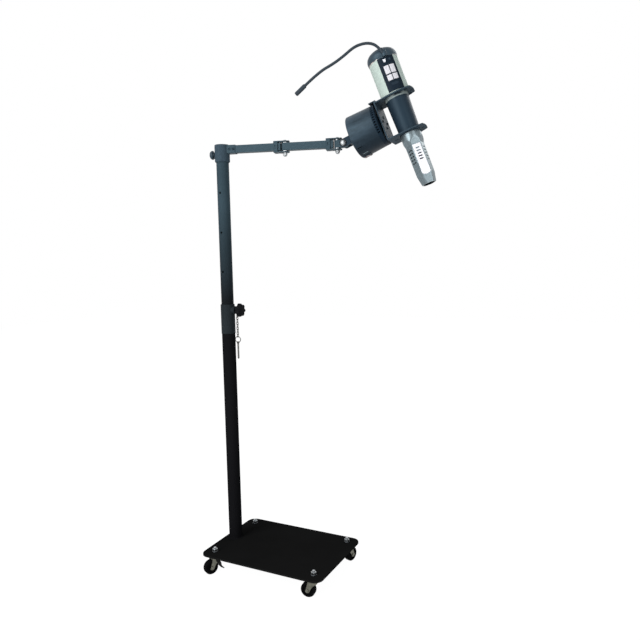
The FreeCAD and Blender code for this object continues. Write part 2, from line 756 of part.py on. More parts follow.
def make_arm_tube_2():
    body = new_body("arm_tube_2")
    span = dim.second_reach - dim.elbow_reach
    tongue(body, as_size(16))
    square_tube(body, as_size(16), span - TUBE_STOP)
    bore = new_sketch(body)
    circle(bore, 0, 0, dim.pivot_radius + dim.running_gap)
    pocket(body, bore, 60, symmetric=True)
    screw_holes(body, span - FORK_SCREW, True)
    piece(body, "arm_tube_2", ARM * Placement(Vector(dim.elbow_reach.value, 0, 0), Rotation()))


# Elbow fork: a socket on the end of a tube and two plates that carry the hinge bolt

def make_elbow_fork(label, reach):
    body = new_body(label)
    half = dim.elbow_width / 2
    top = dim.fork_plate_outer
    inside = dim.arm_section / 2
    plan = new_sketch(body, height=-top)
    outline(plan, [
        (-FORK_BACK, -half + 3.5), (-FORK_BACK + 3.5, -half), (0, -half, (half, 0)), (0, half),
        (-FORK_BACK + 3.5, half), (-FORK_BACK, half - 3.5)])
    pad(body, plan, top * 2)
    tube_way = new_sketch(body, "YZ_Plane", -FORK_BACK - 1)
    rectangle(tube_way, -inside, inside, -inside, inside)
    pocket(body, tube_way, FORK_BACK - SOCKET_END + 2, reverse=True)
    jaw = new_sketch(body, "YZ_Plane", -SOCKET_END)
    jaw_half = top - dim.fork_plate
    rectangle(jaw, -half - 1, half + 1, -jaw_half, jaw_half)
    pocket(body, jaw, 60, reverse=True)
    pin = new_sketch(body)
    circle(pin, 0, 0, dim.pivot_radius)
    pocket(body, pin, 60, symmetric=True)
    screws = new_sketch(body)
    circle(screws, -FORK_SCREW, 0, 2)
    pocket(body, screws, 60, symmetric=True)
    slot = new_sketch(body, "XZ_Plane", half - 1.2)
    slot_x = -FORK_BACK + 6.5
    outline(slot, [
        (slot_x - 1.8, 3.5, (slot_x, 5.3)), (slot_x + 1.8, 3.5), (slot_x + 1.8, -3.5, (slot_x, -5.3)),
        (slot_x - 1.8, -3.5)])
    window = pocket(body, slot, 5, reverse=True)
    mirrored(body, window, "XZ_Plane")
    rounded(body, 1.2, lambda edge: edge.BoundBox.ZLength < 1e-3
            and abs(abs(edge.BoundBox.ZMin) - top.value) < 1e-3 and edge.BoundBox.DiagonalLength > 9)
    piece(body, label, ARM * Placement(Vector(reach.value, 0, 0), Rotation()))


# Elbow bolt: a low head with its locking tab above, spacers in the jaws, a washer and a cap nut below

def washer(name, inner, outer, low, high):
    """A flat ring about Z between two heights."""
    return ring(name, [(inner, low), (outer, low), (outer, high), (inner, high)])


def make_elbow_bolt(label, reach):
    top = dim.fork_plate_outer
    jaw = top - dim.fork_plate
    tongue_face = dim.arm_section / 2 + dim.face_gap
    pivot = dim.pivot_radius
    bolt = ring(label + "_bolt", [
        (0, -top - 8.5), (pivot, -top - 8.5), (pivot, top), (6, top), (6, top + 1.2, (4.4, top + 2.8)),
        (1, top + 3.4), (0, top + 3.4)])
    nut = new_body(label + "_nut")
    flats = new_sketch(nut, height=-top - 1.6)
    polygon(flats, 6, 5.5)
    circle(flats, 0, 0, pivot)
    pad(nut, flats, 5, reverse=True)
    crown = new_sketch(nut, "XZ_Plane")
    outline(crown, [
        (pivot, -top - 6.6), (5.3, -top - 6.6, (4.7, -top - 8.8)), (1, -top - 10.4), (0, -top - 10.4),
        (0, -top - 8.5), (pivot, -top - 8.5)])
    turned(nut, crown)
    tab = new_body(label + "_tab")
    plate = new_sketch(tab, height=top)
    rectangle(plate, 6.5, 12, -5, 5)
    pad(tab, plate, 1.8)
    members = [
        bolt, nut, tab, washer(label + "_washer", pivot, 6.5, -top - 1.6, -top),
        washer(label + "_upper_spacer", pivot, 8, tongue_face, jaw),
        washer(label + "_lower_spacer", pivot, 8, -jaw, -tongue_face)]
    for member in members:
        member.Placement = ARM * Placement(Vector(reach.value, 0, 0), Rotation())
    group(label, members)


def make_fork_screws(label, reach):
    shank_radius = 2
    members = []
    for side in (1, -1):
        screw = pan_screw(f"{label}_{side + 2}", 3.6, 1.6, 6.8)
        spacer = washer(f"{label}_spacer_{side + 2}", shank_radius, 3.4,
                        dim.arm_section / 2 - dim.fork_plate_outer, -dim.fork_plate)
        for member in (screw, spacer):
            member.Placement = ARM * Placement(
                Vector(reach.value - FORK_SCREW, 0, side * dim.fork_plate_outer.value),
                Rotation(X_AXIS, 0 if side > 0 else 180))
            members.append(member)
    group(label, members)


# Lock knob of the sleeve: a domed button head on a short screw, at the side away from the arm

def make_top_knob():
    outward = ARM * Placement(
        Vector(0, 0, dim.sleeve_knob_height.value - dim.arm_height.value), Rotation(Y_AXIS, -90))
    tip = dim.upper_tube_radius + dim.face_gap
    face = dim.sleeve_radius + dim.face_gap
    screw = dim.screw_radius
    body = ring("top_knob", [
        (0, tip), (screw - 1, tip), (screw, tip + 1), (screw, face), (7, face), (7, face + 2.5),
        (11, face + 3.5), (12.25, face + 5), (12.25, face + 7.5, (9.6, face + 11.8)),
        (1.5, face + 13.5), (0, face + 13.5)])
    piece(body, "top_knob", outward)


# Tilt link: a short block that hinges in the second elbow and carries the tilt bolt

def make_tilt_link():
    body = new_body("tilt_link")
    half = dim.link_width / 2
    height = dim.arm_section / 2
    end = dim.link_length + height
    plan = new_sketch(body, height=-height)
    outline(plan, [(0, half, (-half, 0)), (0, -half), (end, -half), (end, half)])
    pad(body, plan, height * 2)
    nose = new_sketch(body, "XZ_Plane")
    for side in (1, -1):
        outline(nose, [
            (dim.link_length, height * side, (dim.link_length + height * math.sqrt(0.5),
             height * (side * math.sqrt(0.5)))),
            (end, 0), (end + 5, 0), (end + 5, (height + 5) * side), (dim.link_length, (height + 5) * side)])
    pocket(body, nose, 60, symmetric=True)
    hinge = new_sketch(body)
    circle(hinge, 0, 0, dim.pivot_radius + dim.running_gap)
    pocket(body, hinge, 60, symmetric=True)
    tilt = new_sketch(body, "XZ_Plane")
    circle(tilt, dim.link_length, 0, dim.pivot_radius)
    pocket(body, tilt, 60, symmetric=True)
    piece(body, "tilt_link", LINK)


def make_tilt_bolt():
    face = dim.cheek_outer + dim.face_gap
    pivot = dim.pivot_radius
    bolt = ring("tilt_bolt_shank", [
        (0, -face - 7.5), (pivot, -face - 7.5), (pivot, face + 2), (6.8, face + 2),
        (6.8, face + 2.8, (5, face + 5.4)), (1, face + 6.4), (0, face + 6.4)])
    collar = ring("tilt_bolt_collar", [
        (pivot, face), (9.4, face), (9.4, face + 1.4), (8.6, face + 2), (pivot, face + 2)])
    nut = new_body("tilt_bolt_nut")
    flats = new_sketch(nut, height=-face)
    polygon(flats, 6, 6.5)
    circle(flats, 0, 0, pivot)
    pad(nut, flats, 6.5, reverse=True)
    place = LINK * Placement(Vector(dim.link_length.value, 0, 0), Rotation(X_AXIS, 90))
    for member in (bolt, collar, nut):
        member.Placement = place
    group("tilt_bolt", [bolt, collar, nut])


# Head bracket: two cheeks on the tilt bolt that flare to the plate on the motor's back

def make_head_bracket():
    body = new_body("head_bracket")
    cheek = dim.cheek_radius
    outer = dim.cheek_outer
    inner = dim.link_width / 2 + dim.face_gap
    web_end = 20
    flange = dim.drum_back - 3
    side = new_sketch(body, "XZ_Plane")
    outline(side, [(0, cheek, (-cheek, 0)), (0, -cheek), (web_end, -cheek), (web_end, cheek)])
    pad(body, side, outer * 2, symmetric=True)
    near = new_sketch(body, "YZ_Plane", web_end)
    rectangle(near, -outer, outer, -cheek, cheek)
    far = new_sketch(body, "YZ_Plane", flange)
    rectangle(far, -19, 19, -20, 20)
    flare = body.newObject("PartDesign::AdditiveLoft", "head_bracket_flare")
    flare.Profile = near
    flare.Sections = [far]
    flare.Ruled = True
    doc.recompute()
    plate = new_sketch(body, "YZ_Plane", flange)
    rectangle(plate, -20.5, 20.5, -21.5, 21.5)
    pad(body, plate, 3)
    mouth = new_sketch(body)
    rectangle(mouth, -30, 16, -inner, inner)
    pocket(body, mouth, 80, symmetric=True)
    bore = new_sketch(body, "XZ_Plane")
    circle(bore, 0, 0, dim.pivot_radius + dim.running_gap)
    pocket(body, bore, 80, symmetric=True)
    piece(body, "head_bracket", HEAD)


# Motor: drum housing with its rocker switch, slotted front ring, gear motor inside

DRUM = HEAD * Placement(Vector(), Rotation(Y_AXIS, 90))
RING_START = dim.drum_back + dim.drum_length - dim.vent_band
RING_END = dim.drum_back + dim.drum_length
SWITCH_AT = dim.drum_back + 16
SWITCH_HALF_LENGTH = 8.5
SWITCH_HALF_WIDTH = 6
SWITCH_PIVOT = 54


def make_motor_housing():
    outer = dim.drum_radius
    front = dim.drum_front_radius
    wall = dim.drum_wall
    back = dim.drum_back
    body = ring("motor_housing", [
        (0, back), (outer - 3, back, (outer - 0.9, back + 0.9)), (outer, back + 3),
        (front, RING_START), (front - wall, RING_START), (outer - wall, back + wall + 1),
        (outer - wall - 1, back + wall), (0, back + wall)])
    block = new_sketch(body, "YZ_Plane", outer + 1.2)
    rectangle(block, -SWITCH_HALF_WIDTH - 2.5, SWITCH_HALF_WIDTH + 2.5,
              SWITCH_AT - SWITCH_HALF_LENGTH - 2.5, SWITCH_AT + SWITCH_HALF_LENGTH + 2.5)
    pad(body, block, 13, reverse=True)
    well = new_sketch(body, "YZ_Plane", outer + 2)
    rectangle(well, -SWITCH_HALF_WIDTH, SWITCH_HALF_WIDTH,
              SWITCH_AT - SWITCH_HALF_LENGTH, SWITCH_AT + SWITCH_HALF_LENGTH)
    pocket(body, well, 11.5)
    pins = new_sketch(body, "XZ_Plane")
    circle(pins, SWITCH_PIVOT, SWITCH_AT, 1.5 + dim.running_gap)
    pocket(body, pins, SWITCH_HALF_WIDTH * 2 + 8, symmetric=True)
    slot = new_sketch(body, "XZ_Plane", turn=-45)
    rectangle(slot, 40, 70, back + 6, back + 19)
    pocket(body, slot, 2.2, symmetric=True)
    piece(body, "motor_housing", DRUM)


def make_rocker_switch():
    body = new_body("rocker_switch")
    reach = dim.drum_radius + 3.2
    gap = dim.face_gap
    side = new_sketch(body, "XZ_Plane")
    outline(side, [
        (49.5, SWITCH_AT - 5), (52, SWITCH_AT - SWITCH_HALF_LENGTH + 0.8),
        (reach - 0.4, SWITCH_AT - SWITCH_HALF_LENGTH + 0.8), (reach - 2.2, SWITCH_AT),
        (reach - 0.4, SWITCH_AT + SWITCH_HALF_LENGTH - 0.8), (52, SWITCH_AT + SWITCH_HALF_LENGTH - 0.8),
        (49.5, SWITCH_AT + 5)])
    pad(body, side, SWITCH_HALF_WIDTH * 2 - gap * 2, symmetric=True)
    pins = new_sketch(body, "XZ_Plane")
    circle(pins, SWITCH_PIVOT, SWITCH_AT, 1.5)
    pad(body, pins, SWITCH_HALF_WIDTH * 2 + 4, symmetric=True)
    piece(body, "rocker_switch", DRUM)


VENT_PITCH = 7.2
VENT_FIRST = 42
VENT_COUNT = 12


def make_front_ring():
    front = dim.drum_front_radius
    wall = dim.drum_wall
    body = ring("motor_front_ring", [
        (dim.shaft_radius + dim.running_gap, RING_END - 2.5), (front - wall, RING_END - 2.5),
        (front - wall, RING_START), (front, RING_START), (front, RING_END - 1.5),
        (front - 1.5, RING_END), (dim.shaft_radius + dim.running_gap, RING_END)])
    for side in (1, -1):
        slot = new_sketch(body, "XZ_Plane", turn=180 - side * VENT_FIRST)
        rectangle(slot, front - 8, front + 5, RING_START + 1.8, RING_END - 3.4)
        first = pocket(body, slot, 3.4, symmetric=True)
        pattern = around(body, first, VENT_COUNT, VENT_PITCH * (VENT_COUNT - 1))
        pattern.Reversed = side > 0
        doc.recompute()
    piece(body, "motor_front_ring", DRUM)


def make_gear_motor():
    inner_face = RING_END - 2.5
    shaft = dim.shaft_radius + dim.running_gap
    body = ring("gear_motor", [
        (0, inner_face - 62), (24, inner_face - 62), (26, inner_face - 60), (26, inner_face - 18),
        (21, inner_face - 18), (21, inner_face), (shaft, inner_face), (shaft, inner_face - 16),
        (0, inner_face - 16)])
    piece(body, "gear_motor", DRUM)


# Turntable on the motor's shaft, and the cradle that it swings

CRADLE_SCREWS = ((0, 19.5), (0, -19.5), (14.5, 0), (-14.5, 0))
RIVET_REACH = 33
RIVET_SIDE = 24.5


def make_turntable():
    inner_face = RING_END - 2.5
    shaft = dim.shaft_radius
    body = ring("turntable", [
        (0, inner_face - 15.5), (shaft, inner_face - 15.5), (shaft, RING_END + dim.face_gap),
        (23, RING_END + dim.face_gap), (23, dim.cradle_plane), (0, dim.cradle_plane)])
    holes = new_sketch(body, height=dim.cradle_plane)
    for down, side in CRADLE_SCREWS:
        circle(holes, down, side, 2)
    pocket(body, holes, 2.5)
    piece(body, "turntable", DRUM)


def ring_plate(body, level, bore_radius, nose_reach, holes):
    """A flat ring plate that reaches forward from the cradle's back plate to a narrower nose."""
    half = dim.cradle_half_width
    back = dim.cradle_plane
    nose = dim.dryer_reach + nose_reach
    plan = new_sketch(body, height=level)
    outline(plan, [
        (back, -half), (nose - 32, -half), (nose - 9, -30, (nose - 3.6, -27)), (nose - 2, -21, (nose, 0)),
        (nose - 2, 21, (nose - 3.6, 27)), (nose - 9, 30), (nose - 32, half), (back, half)])
    circle(plan, dim.dryer_reach, 0, bore_radius)
    for reach, side, radius in holes:
        circle(plan, dim.dryer_reach + reach, side, radius)
    pad(body, plan, dim.sheet_thickness)


def make_cradle():
    body = new_body("cradle_bracket")
    back = dim.cradle_plane
    half = dim.cradle_half_width
    sheet_size = dim.sheet_thickness
    plate_top = dim.upper_ring_level + 13
    plate = new_sketch(body, "YZ_Plane", back)
    outline(plate, [
        (-half, dim.lower_ring_level), (half, dim.lower_ring_level),
        (half, dim.upper_ring_level + 3), (20.5, plate_top), (-20.5, plate_top),
        (-half, dim.upper_ring_level + 3)])
    for down, side in CRADLE_SCREWS:
        circle(plate, side, -down, 2)
    pad(body, plate, sheet_size)
    ring_plate(body, dim.upper_ring_level, dim.upper_bore_radius, 48,
               [(40.5, 6, 3), (RIVET_REACH, RIVET_SIDE, 2), (RIVET_REACH, -RIVET_SIDE, 2)])
    ring_plate(body, dim.lower_ring_level, dim.lower_bore_radius, 45,
               [(37.4, 0, 4.6), (-38.4, 0, 4.6)])
    lip = new_sketch(body, height=plate_top)
    rectangle(lip, back - 17.5, back + sheet_size, -20.5, 20.5)
    pad(body, lip, sheet_size - 0.5, reverse=True)
    rounded(body, 2, lambda edge: edge.BoundBox.YLength > 40 and edge.BoundBox.XLength < 1e-3
            and abs(edge.BoundBox.ZMax - plate_top.value) < 1e-3
            and abs(edge.BoundBox.XMax - back.value - sheet_size.value) < 1e-3)
    piece(body, "cradle_bracket", HEAD)


def make_cradle_screws():
    outer_face = dim.cradle_plane.value + dim.sheet_thickness.value
    screws = []
    for number, (down, side) in enumerate(CRADLE_SCREWS):
        screw = pan_screw(f"cradle_screw_{number}", 3.8, 2, 5.4)
        screw.Placement = DRUM * Placement(Vector(down, side, outer_face), Rotation())
        screws.append(screw)
    ring_face = dim.upper_ring_level.value + dim.sheet_thickness.value
    for side in (RIVET_SIDE, -RIVET_SIDE):
        rivet = ring("ring_rivet", [
            (0, -5), (3, -5), (3.4, -3), (2, -3), (2, 0), (0, 0)])
        rivet.Placement = HEAD * Placement(
            Vector(dim.dryer_reach.value + RIVET_REACH, side, ring_face), Rotation())
        screws.append(rivet)
    group("cradle_screws", screws)


# Hand-held dryer: shells around the body, a dark control strip, a domed cap, a barrel, a nozzle

CORD_RADIUS = 3.6
CORD_BEND_SHARE = 0.45
CORD_ROUTE = [Vector(*point) for point in (
    (298.4, 75.2, 1389.6), (284.0, 67.8, 1410.2), (269.0, 60.1, 1418.6), (252.2, 51.6, 1418.8),
    (230.4, 40.4, 1410.6), (208.7, 29.3, 1390.1), (184.2, 16.8, 1369.1), (149.0, -1.2, 1348.1),
    (112.6, -19.8, 1310.6))]


def facing(point, direction):
    """A placement whose Z axis points along a direction."""
    return Placement(point, Rotation(Z_AXIS, direction))


RELIEF_PROFILE = [
    (0, -4), (5.5, -4), (5.5, 8), (6.3, 8), (6.3, 10), (5.2, 10.6), (4.4, 17.5), (0, 17.5)]
SEAT_PROFILE = RELIEF_PROFILE[:-2] + [(4.8, 17.5), (4.8, 33), (0, 33)]
RELIEF = facing(CORD_ROUTE[0], CORD_ROUTE[1] - CORD_ROUTE[0])
PLUG = facing(CORD_ROUTE[-1], CORD_ROUTE[-1] - CORD_ROUTE[-2])

BUTTON_SIDE = 7.45
BUTTON_WIDTH = 12.6
BUTTONS = {
    "button_1": (-BUTTON_SIDE, 108.4, 21.8), "button_2": (BUTTON_SIDE, 108.4, 21.8),
    "button_3": (-BUTTON_SIDE, 87, 15), "button_4": (BUTTON_SIDE, 87, 15),
}
BUTTON_GAP = 0.35
STRIP_DEPTH = 1.6
STRIP_TURN = -2
RELIEF_X = 36.3


def cut_button_holes(body, front):
    """Four windows for the buttons, cut inwards from in front of the strip."""
    windows = new_sketch(body, "YZ_Plane", front)
    for side, height, tall in BUTTONS.values():
        half_width = BUTTON_WIDTH / 2 + BUTTON_GAP
        half_height = tall / 2 + BUTTON_GAP
        rectangle(windows, side - half_width, side + half_width, height - half_height, height + half_height)
    pocket(body, windows, 20)


def seat_relief(body, label):
    """Puts a dryer body in its place and cuts out the seat of the cord's relief boot and a groove
    for the cord."""
    body.Placement = DRYER
    filler = ring(label + "_relief", SEAT_PROFILE)
    filler.Placement = RELIEF
    seated = doc.addObject("Part::Cut", label + "_seated")
    seated.Base = body
    seated.Tool = filler
    doc.recompute()
    piece(seated, label)


def make_dryer_shell():
    outer = dim.shell_radius
    inner = outer - dim.shell_wall
    neck = dim.neck_radius
    throat = neck - 2.5
    bottom = dim.shell_bottom
    body = ring("dryer_shell", [
        (throat, dim.barrel_top), (neck, dim.barrel_top), (neck, bottom), (outer - 1.5, bottom),
        (outer, bottom + 1.5), (outer, dim.shell_top), (inner, dim.shell_top),
        (inner, bottom + 2.5), (throat, bottom + 2.5)])
    recess = new_sketch(body, "XZ_Plane", turn=STRIP_TURN)
    rectangle(recess, outer - STRIP_DEPTH, outer + 2, dim.strip_bottom, dim.strip_top)
    turned(body, recess, dim.strip_angle, cut=True)
    cut_button_holes(body, outer + 3)
    intake = new_sketch(body, "YZ_Plane", -(outer + 3))
    rectangle(intake, -14, 14, 92, 94.5)
    slit = pocket(body, intake, 8, reverse=True)
    along(body, slit, 8, 42)
    seat_relief(body, "dryer_shell")


def make_control_strip():
    body = new_body("control_strip")
    outer = dim.shell_radius
    section = new_sketch(body, "XZ_Plane", turn=STRIP_TURN)
    rectangle(section, outer - STRIP_DEPTH, outer + 0.4, dim.strip_bottom, dim.strip_top)
    turned(body, section, dim.strip_angle)
    cut_button_holes(body, outer + 3)
    oval = new_sketch(body, "YZ_Plane", outer + 3)
    outline(oval, [(-5.5, 74), (5.5, 74, (9.8, 70)), (5.5, 66), (-5.5, 66, (-9.8, 70))])
    pocket(body, oval, 3.2)
    lamp = new_sketch(body, "YZ_Plane", outer + 0.6)
    circle(lamp, 8, 133, 3)
    pad(body, lamp, 2, reverse=True)
    mark = new_sketch(body, "YZ_Plane", outer + 0.6)
    outline(mark, [(-10.2, 136.6), (-8.3, 128.6), (-3.5, 128.6), (-2, 136.6)])
    pad(body, mark, 2, reverse=True)
    seat_relief(body, "control_strip")


def make_buttons():
    outer = dim.shell_radius + 1.5
    for label, (side, height, tall) in BUTTONS.items():
        body = new_body(label)
        face = new_sketch(body)
        half = BUTTON_WIDTH / 2
        near = side - half
        far = side + half
        reach = [math.sqrt(outer.value ** 2 - y * y) for y in (near, side, far)]
        outline(face, [
            (33, near), (reach[0], near, (reach[1], side)), (reach[2], far), (33, far)])
        pad(body, face, tall)
        face.AttachmentOffset = Placement(Vector(0, 0, height - tall / 2), Rotation())
        doc.recompute()
        rounded(body, 0.8, lambda edge: edge.BoundBox.XMin > 36)
        piece(body, label, DRYER)


def make_dryer_cap():
    rim = dim.shell_radius + 0.4
    base = dim.shell_top
    top = base + dim.dome_height
    body = ring("dryer_cap", [
        (rim - 3, base), (rim, base), (rim, base + 2, (rim - 1.2, base + 18.6)),
        (29, top - 7.5, (16, top - 1.6)), (2, top), (0, top), (0, top - 2.5), (15, top - 4.2),
        (27, top - 9.5), (rim - 3.4, base + 18), (rim - 2.5, base + 2)])
    boss = new_sketch(body, height=base)
    circle(boss, RELIEF_X, 0, 7.5)
    pad(body, boss, 15)
    seat_relief(body, "dryer_cap")


def make_barrel():
    top = dim.barrel_top
    radius = dim.barrel_radius
    end = dim.barrel_end_radius
    body = ring("dryer_barrel", [
        (end - 2, dim.barrel_bottom), (end, dim.barrel_bottom), (radius, top - 3),
        (radius + 0.5, top - 3), (radius + 0.5, top), (radius - 2, top), (radius - 2, 8), (end - 2, 8)])
    piece(body, "dryer_barrel", DRYER)


NOZZLE_LEVELS = ((-54, 28.6), (-88.5, 21.5), (-168, 21), (-194, 16.9))
NOZZLE_SIDES = 6
PANEL_SEAT = 20.9
PANEL_THICKNESS = 1.1


def make_nozzle():
    body = new_body("dryer_nozzle")
    sections = []
    for level, apothem in NOZZLE_LEVELS:
        section = new_sketch(body, height=level)
        polygon(section, NOZZLE_SIDES, apothem, 180 / NOZZLE_SIDES)
        sections.append(section)
    loft = body.newObject("PartDesign::AdditiveLoft", "dryer_nozzle_loft")
    loft.Profile = sections[0]
    loft.Sections = sections[1:]
    loft.Ruled = True
    doc.recompute()
    outer = new_sketch(body, "XZ_Plane")
    round_radius = dim.barrel_end_radius - 0.3
    outline(outer, [
        (round_radius - 0.5, -50), (60, -50), (60, -200), (18.6, -200), (19.2, -193), (24.4, -168),
        (24.4, -100), (round_radius, -84), (round_radius, -57), (round_radius - 0.5, -56)])
    turned(body, outer, cut=True)
    level_top = new_sketch(body, "XZ_Plane")
    rectangle(level_top, 0, 60, dim.barrel_bottom, -50)
    turned(body, level_top, cut=True)
    bore = new_sketch(body, "XZ_Plane")
    outlet = dim.outlet_radius
    tip = dim.nozzle_tip
    outline(bore, [
        (0, -50), (25, -50), (25, -60), (20, -90), (19.8, -160), (outlet, tip + 25), (outlet, tip - 1),
        (0, tip - 1)])
    turned(body, bore, cut=True)
    recess = new_sketch(body, "YZ_Plane", PANEL_SEAT)
    panel_outline(recess)
    pocket(body, recess, 20, reverse=True)
    for turn in (-360 / NOZZLE_SIDES, 360 / NOZZLE_SIDES):
        vent = new_sketch(body, "YZ_Plane", 26, turn=turn)
        rectangle(vent, -6.4, -1.2, -101, -98.4)
        rectangle(vent, 1.2, 6.4, -101, -98.4)
        slit = pocket(body, vent, 8)
        along(body, slit, 6, 34).Reversed = True
        doc.recompute()
    piece(body, "dryer_nozzle", NOZZLE)


def panel_outline(sketch):
    """The long panel on the nozzle's front facet, rounded at its lower end."""
    outline(sketch, [
        (-11.2, -91), (-11.2, -158, (0, -167)), (11.2, -158), (11.2, -91), (10.2, -90), (-10.2, -90)])


def make_nozzle_panel():
    body = new_body("nozzle_panel")
    sketch = new_sketch(body, "YZ_Plane", PANEL_SEAT)
    panel_outline(sketch)
    pad(body, sketch, PANEL_THICKNESS)
    dash = new_sketch(body, "YZ_Plane", PANEL_SEAT + 2)
    rectangle(dash, -3.2, 3.2, -99.4, -98)
    groove = pocket(body, dash, 1.4)
    along(body, groove, 5, 32).Reversed = True
    doc.recompute()
    piece(body, "nozzle_panel", NOZZLE)


# Inside the dryer: motor on its flange, fan on the motor's shaft, heater on its holder

def make_inner_parts():
    shell_inner = dim.shell_radius - dim.shell_wall
    motor = ring("fan_motor", [
        (2.55, 36), (17, 36), (17, 57), (shell_inner, 57), (shell_inner, 60), (17, 60), (17, 84),
        (15, 86), (0, 86), (0, 66), (2.55, 66)])
    vents = new_sketch(motor, height=60)
    circle(vents, 24, 0, 5)
    hole = pocket(motor, vents, 4)
    around(motor, hole, 8)
    piece(motor, "fan_motor", DRYER)
    fan = ring("fan", [
        (0, 18), (6, 18), (8, 20), (8, 31), (2.5, 31), (2.5, 65.5), (0, 65.5)])
    blade = new_sketch(fan, "YZ_Plane", 5)
    lean = 4.2
    outline(blade, [(-lean, 21), (-lean + 1.5, 21), (lean + 0.75, 30), (lean - 0.75, 30)])
    first = pad(fan, blade, 20.5)
    around(fan, first, 7)
    piece(fan, "fan", DRYER)
    holder_radius = dim.barrel_end_radius - 2
    heater = ring("heater", [
        (holder_radius - 2, -2), (holder_radius, -2), (holder_radius, 4), (holder_radius - 2, 4)])
    cross = new_sketch(heater, height=-48)
    outline(cross, [
        (-0.6, -24.5), (0.6, -24.5), (0.6, -0.6), (24.5, -0.6), (24.5, 0.6), (0.6, 0.6), (0.6, 24.5),
        (-0.6, 24.5), (-0.6, 0.6), (-24.5, 0.6), (-24.5, -0.6), (-0.6, -0.6)])
    pad(heater, cross, 52)
    for level in range(-46, -4, 6):
        coil = new_sketch(heater, height=level)
        circle(coil, 0, 0, 20)
        circle(coil, 0, 0, 18.6)
        pad(heater, coil, 1.4)
    piece(heater, "heater", DRYER)


# Supply lead: a relief boot in the cap, a lead of straight runs and round bends, an in-line plug

def make_relief():
    grip = CORD_RADIUS
    boot = ring("strain_relief", [
        *RELIEF_PROFILE[:-1], (grip, RELIEF_PROFILE[-1][1]), (grip, 0), (0, 0)])
    piece(boot, "strain_relief", RELIEF)


def make_cord():
    points = CORD_ROUTE
    edges = []
    start = points[0]
    for before, corner, after in zip(points, points[1:], points[2:]):
        inward = corner - before
        outward = after - corner
        back = CORD_BEND_SHARE * min(inward.Length, outward.Length)
        turn = inward.getAngle(outward)
        radius = back / math.tan(turn / 2)
        print(f"cord bend: {math.degrees(turn):.0f} degrees on radius {radius:.0f} mm")
        arc_start = corner - inward.normalize() * back
        arc_end = corner + outward.normalize() * back
        aside = (outward - inward).normalize()
        arc_middle = corner + aside * (radius / math.cos(turn / 2) - radius)
        edges.append(Part.LineSegment(start, arc_start).toShape())
        edges.append(Part.Arc(arc_start, arc_middle, arc_end).toShape())
        start = arc_end
    edges.append(Part.LineSegment(start, points[-1]).toShape())
    route = Part.Wire(edges)
    section = Part.Wire([Part.makeCircle(CORD_RADIUS, points[0], points[1] - points[0])])
    shape = route.makePipeShell([section], True, False)
    expected = math.pi * CORD_RADIUS ** 2 * route.Length
    if abs(shape.Volume / expected - 1) > 0.01:
        raise ValueError("the cord's volume does not match its length")
    print(f"cord length: {route.Length:.0f} mm")
    cord = doc.addObject("Part::Feature", "cord_solid")
    cord.Shape = shape
    piece(cord, "cord")
    grip = CORD_RADIUS
    plug = ring("connector", [
        (grip, -9), (4.6, -9), (5.6, -6), (5.6, 22), (4.8, 24), (3.4, 24), (3.4, 14), (1, 14),
        (1, 21.5), (0, 22), (0, 0), (grip, 0)])
    piece(plug, "connector", PLUG)


make_base_plate()
group("caster_studs", [make_caster_stud(name) for name in STUDS])
group("stud_washers", [make_washer(name) for name in STUDS])
group("stud_nuts", [make_nut(name) for name in STUDS])
for caster in STUDS:
    make_caster_fork(caster)
    make_caster_wheel(caster)
make_brake_lever()
make_lower_tube()
make_collar()
make_height_knob()
make_chain()
make_upper_tube()
make_swivel()
make_arm_bracket()
make_bracket_screws()
make_arm_tube_1()
make_elbow_fork("elbow_fork_1", dim.elbow_reach)
make_elbow_bolt("elbow_bolt_1", dim.elbow_reach)
make_fork_screws("fork_screws_1", dim.elbow_reach)
make_top_knob()
make_arm_tube_2()
make_elbow_fork("elbow_fork_2", dim.second_reach)
make_elbow_bolt("elbow_bolt_2", dim.second_reach)
make_fork_screws("fork_screws_2", dim.second_reach)
make_tilt_link()
make_tilt_bolt()
make_head_bracket()
make_motor_housing()
make_rocker_switch()
make_front_ring()
make_gear_motor()
make_turntable()
make_cradle()
make_cradle_screws()
make_dryer_shell()
make_control_strip()
make_buttons()
make_dryer_cap()
make_barrel()
make_nozzle()
make_nozzle_panel()
make_inner_parts()
make_relief()
make_cord()


def check_and_export():
    """Refuses a document with a failed feature or a bad solid, then writes one file per piece."""
    doc.recompute()
    failed = [item.Name for item in doc.Objects if {"Invalid", "Error"} & set(item.State)]
    if failed:
        raise ValueError(f"failed features: {failed}")
    for item in EXPORTS:
        if item.Shape.isNull() or not item.Shape.isValid():
            raise ValueError(f"bad shape: {item.Label}")
    os.makedirs("parts", exist_ok=True)
    for item in EXPORTS:
        item.Shape.exportStep(f"parts/{item.Label}.step")
        print(f"{item.Label}: {len(item.Shape.Solids)} solids, {item.Shape.Volume / 1000:.2f} cm3")


check_and_export()
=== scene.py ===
"""Looks of the pet dryer: camera, studio, materials, and the pieces that the frame leaves plain."""

import bmesh
import bpy
import math
from mathutils import Matrix, Vector


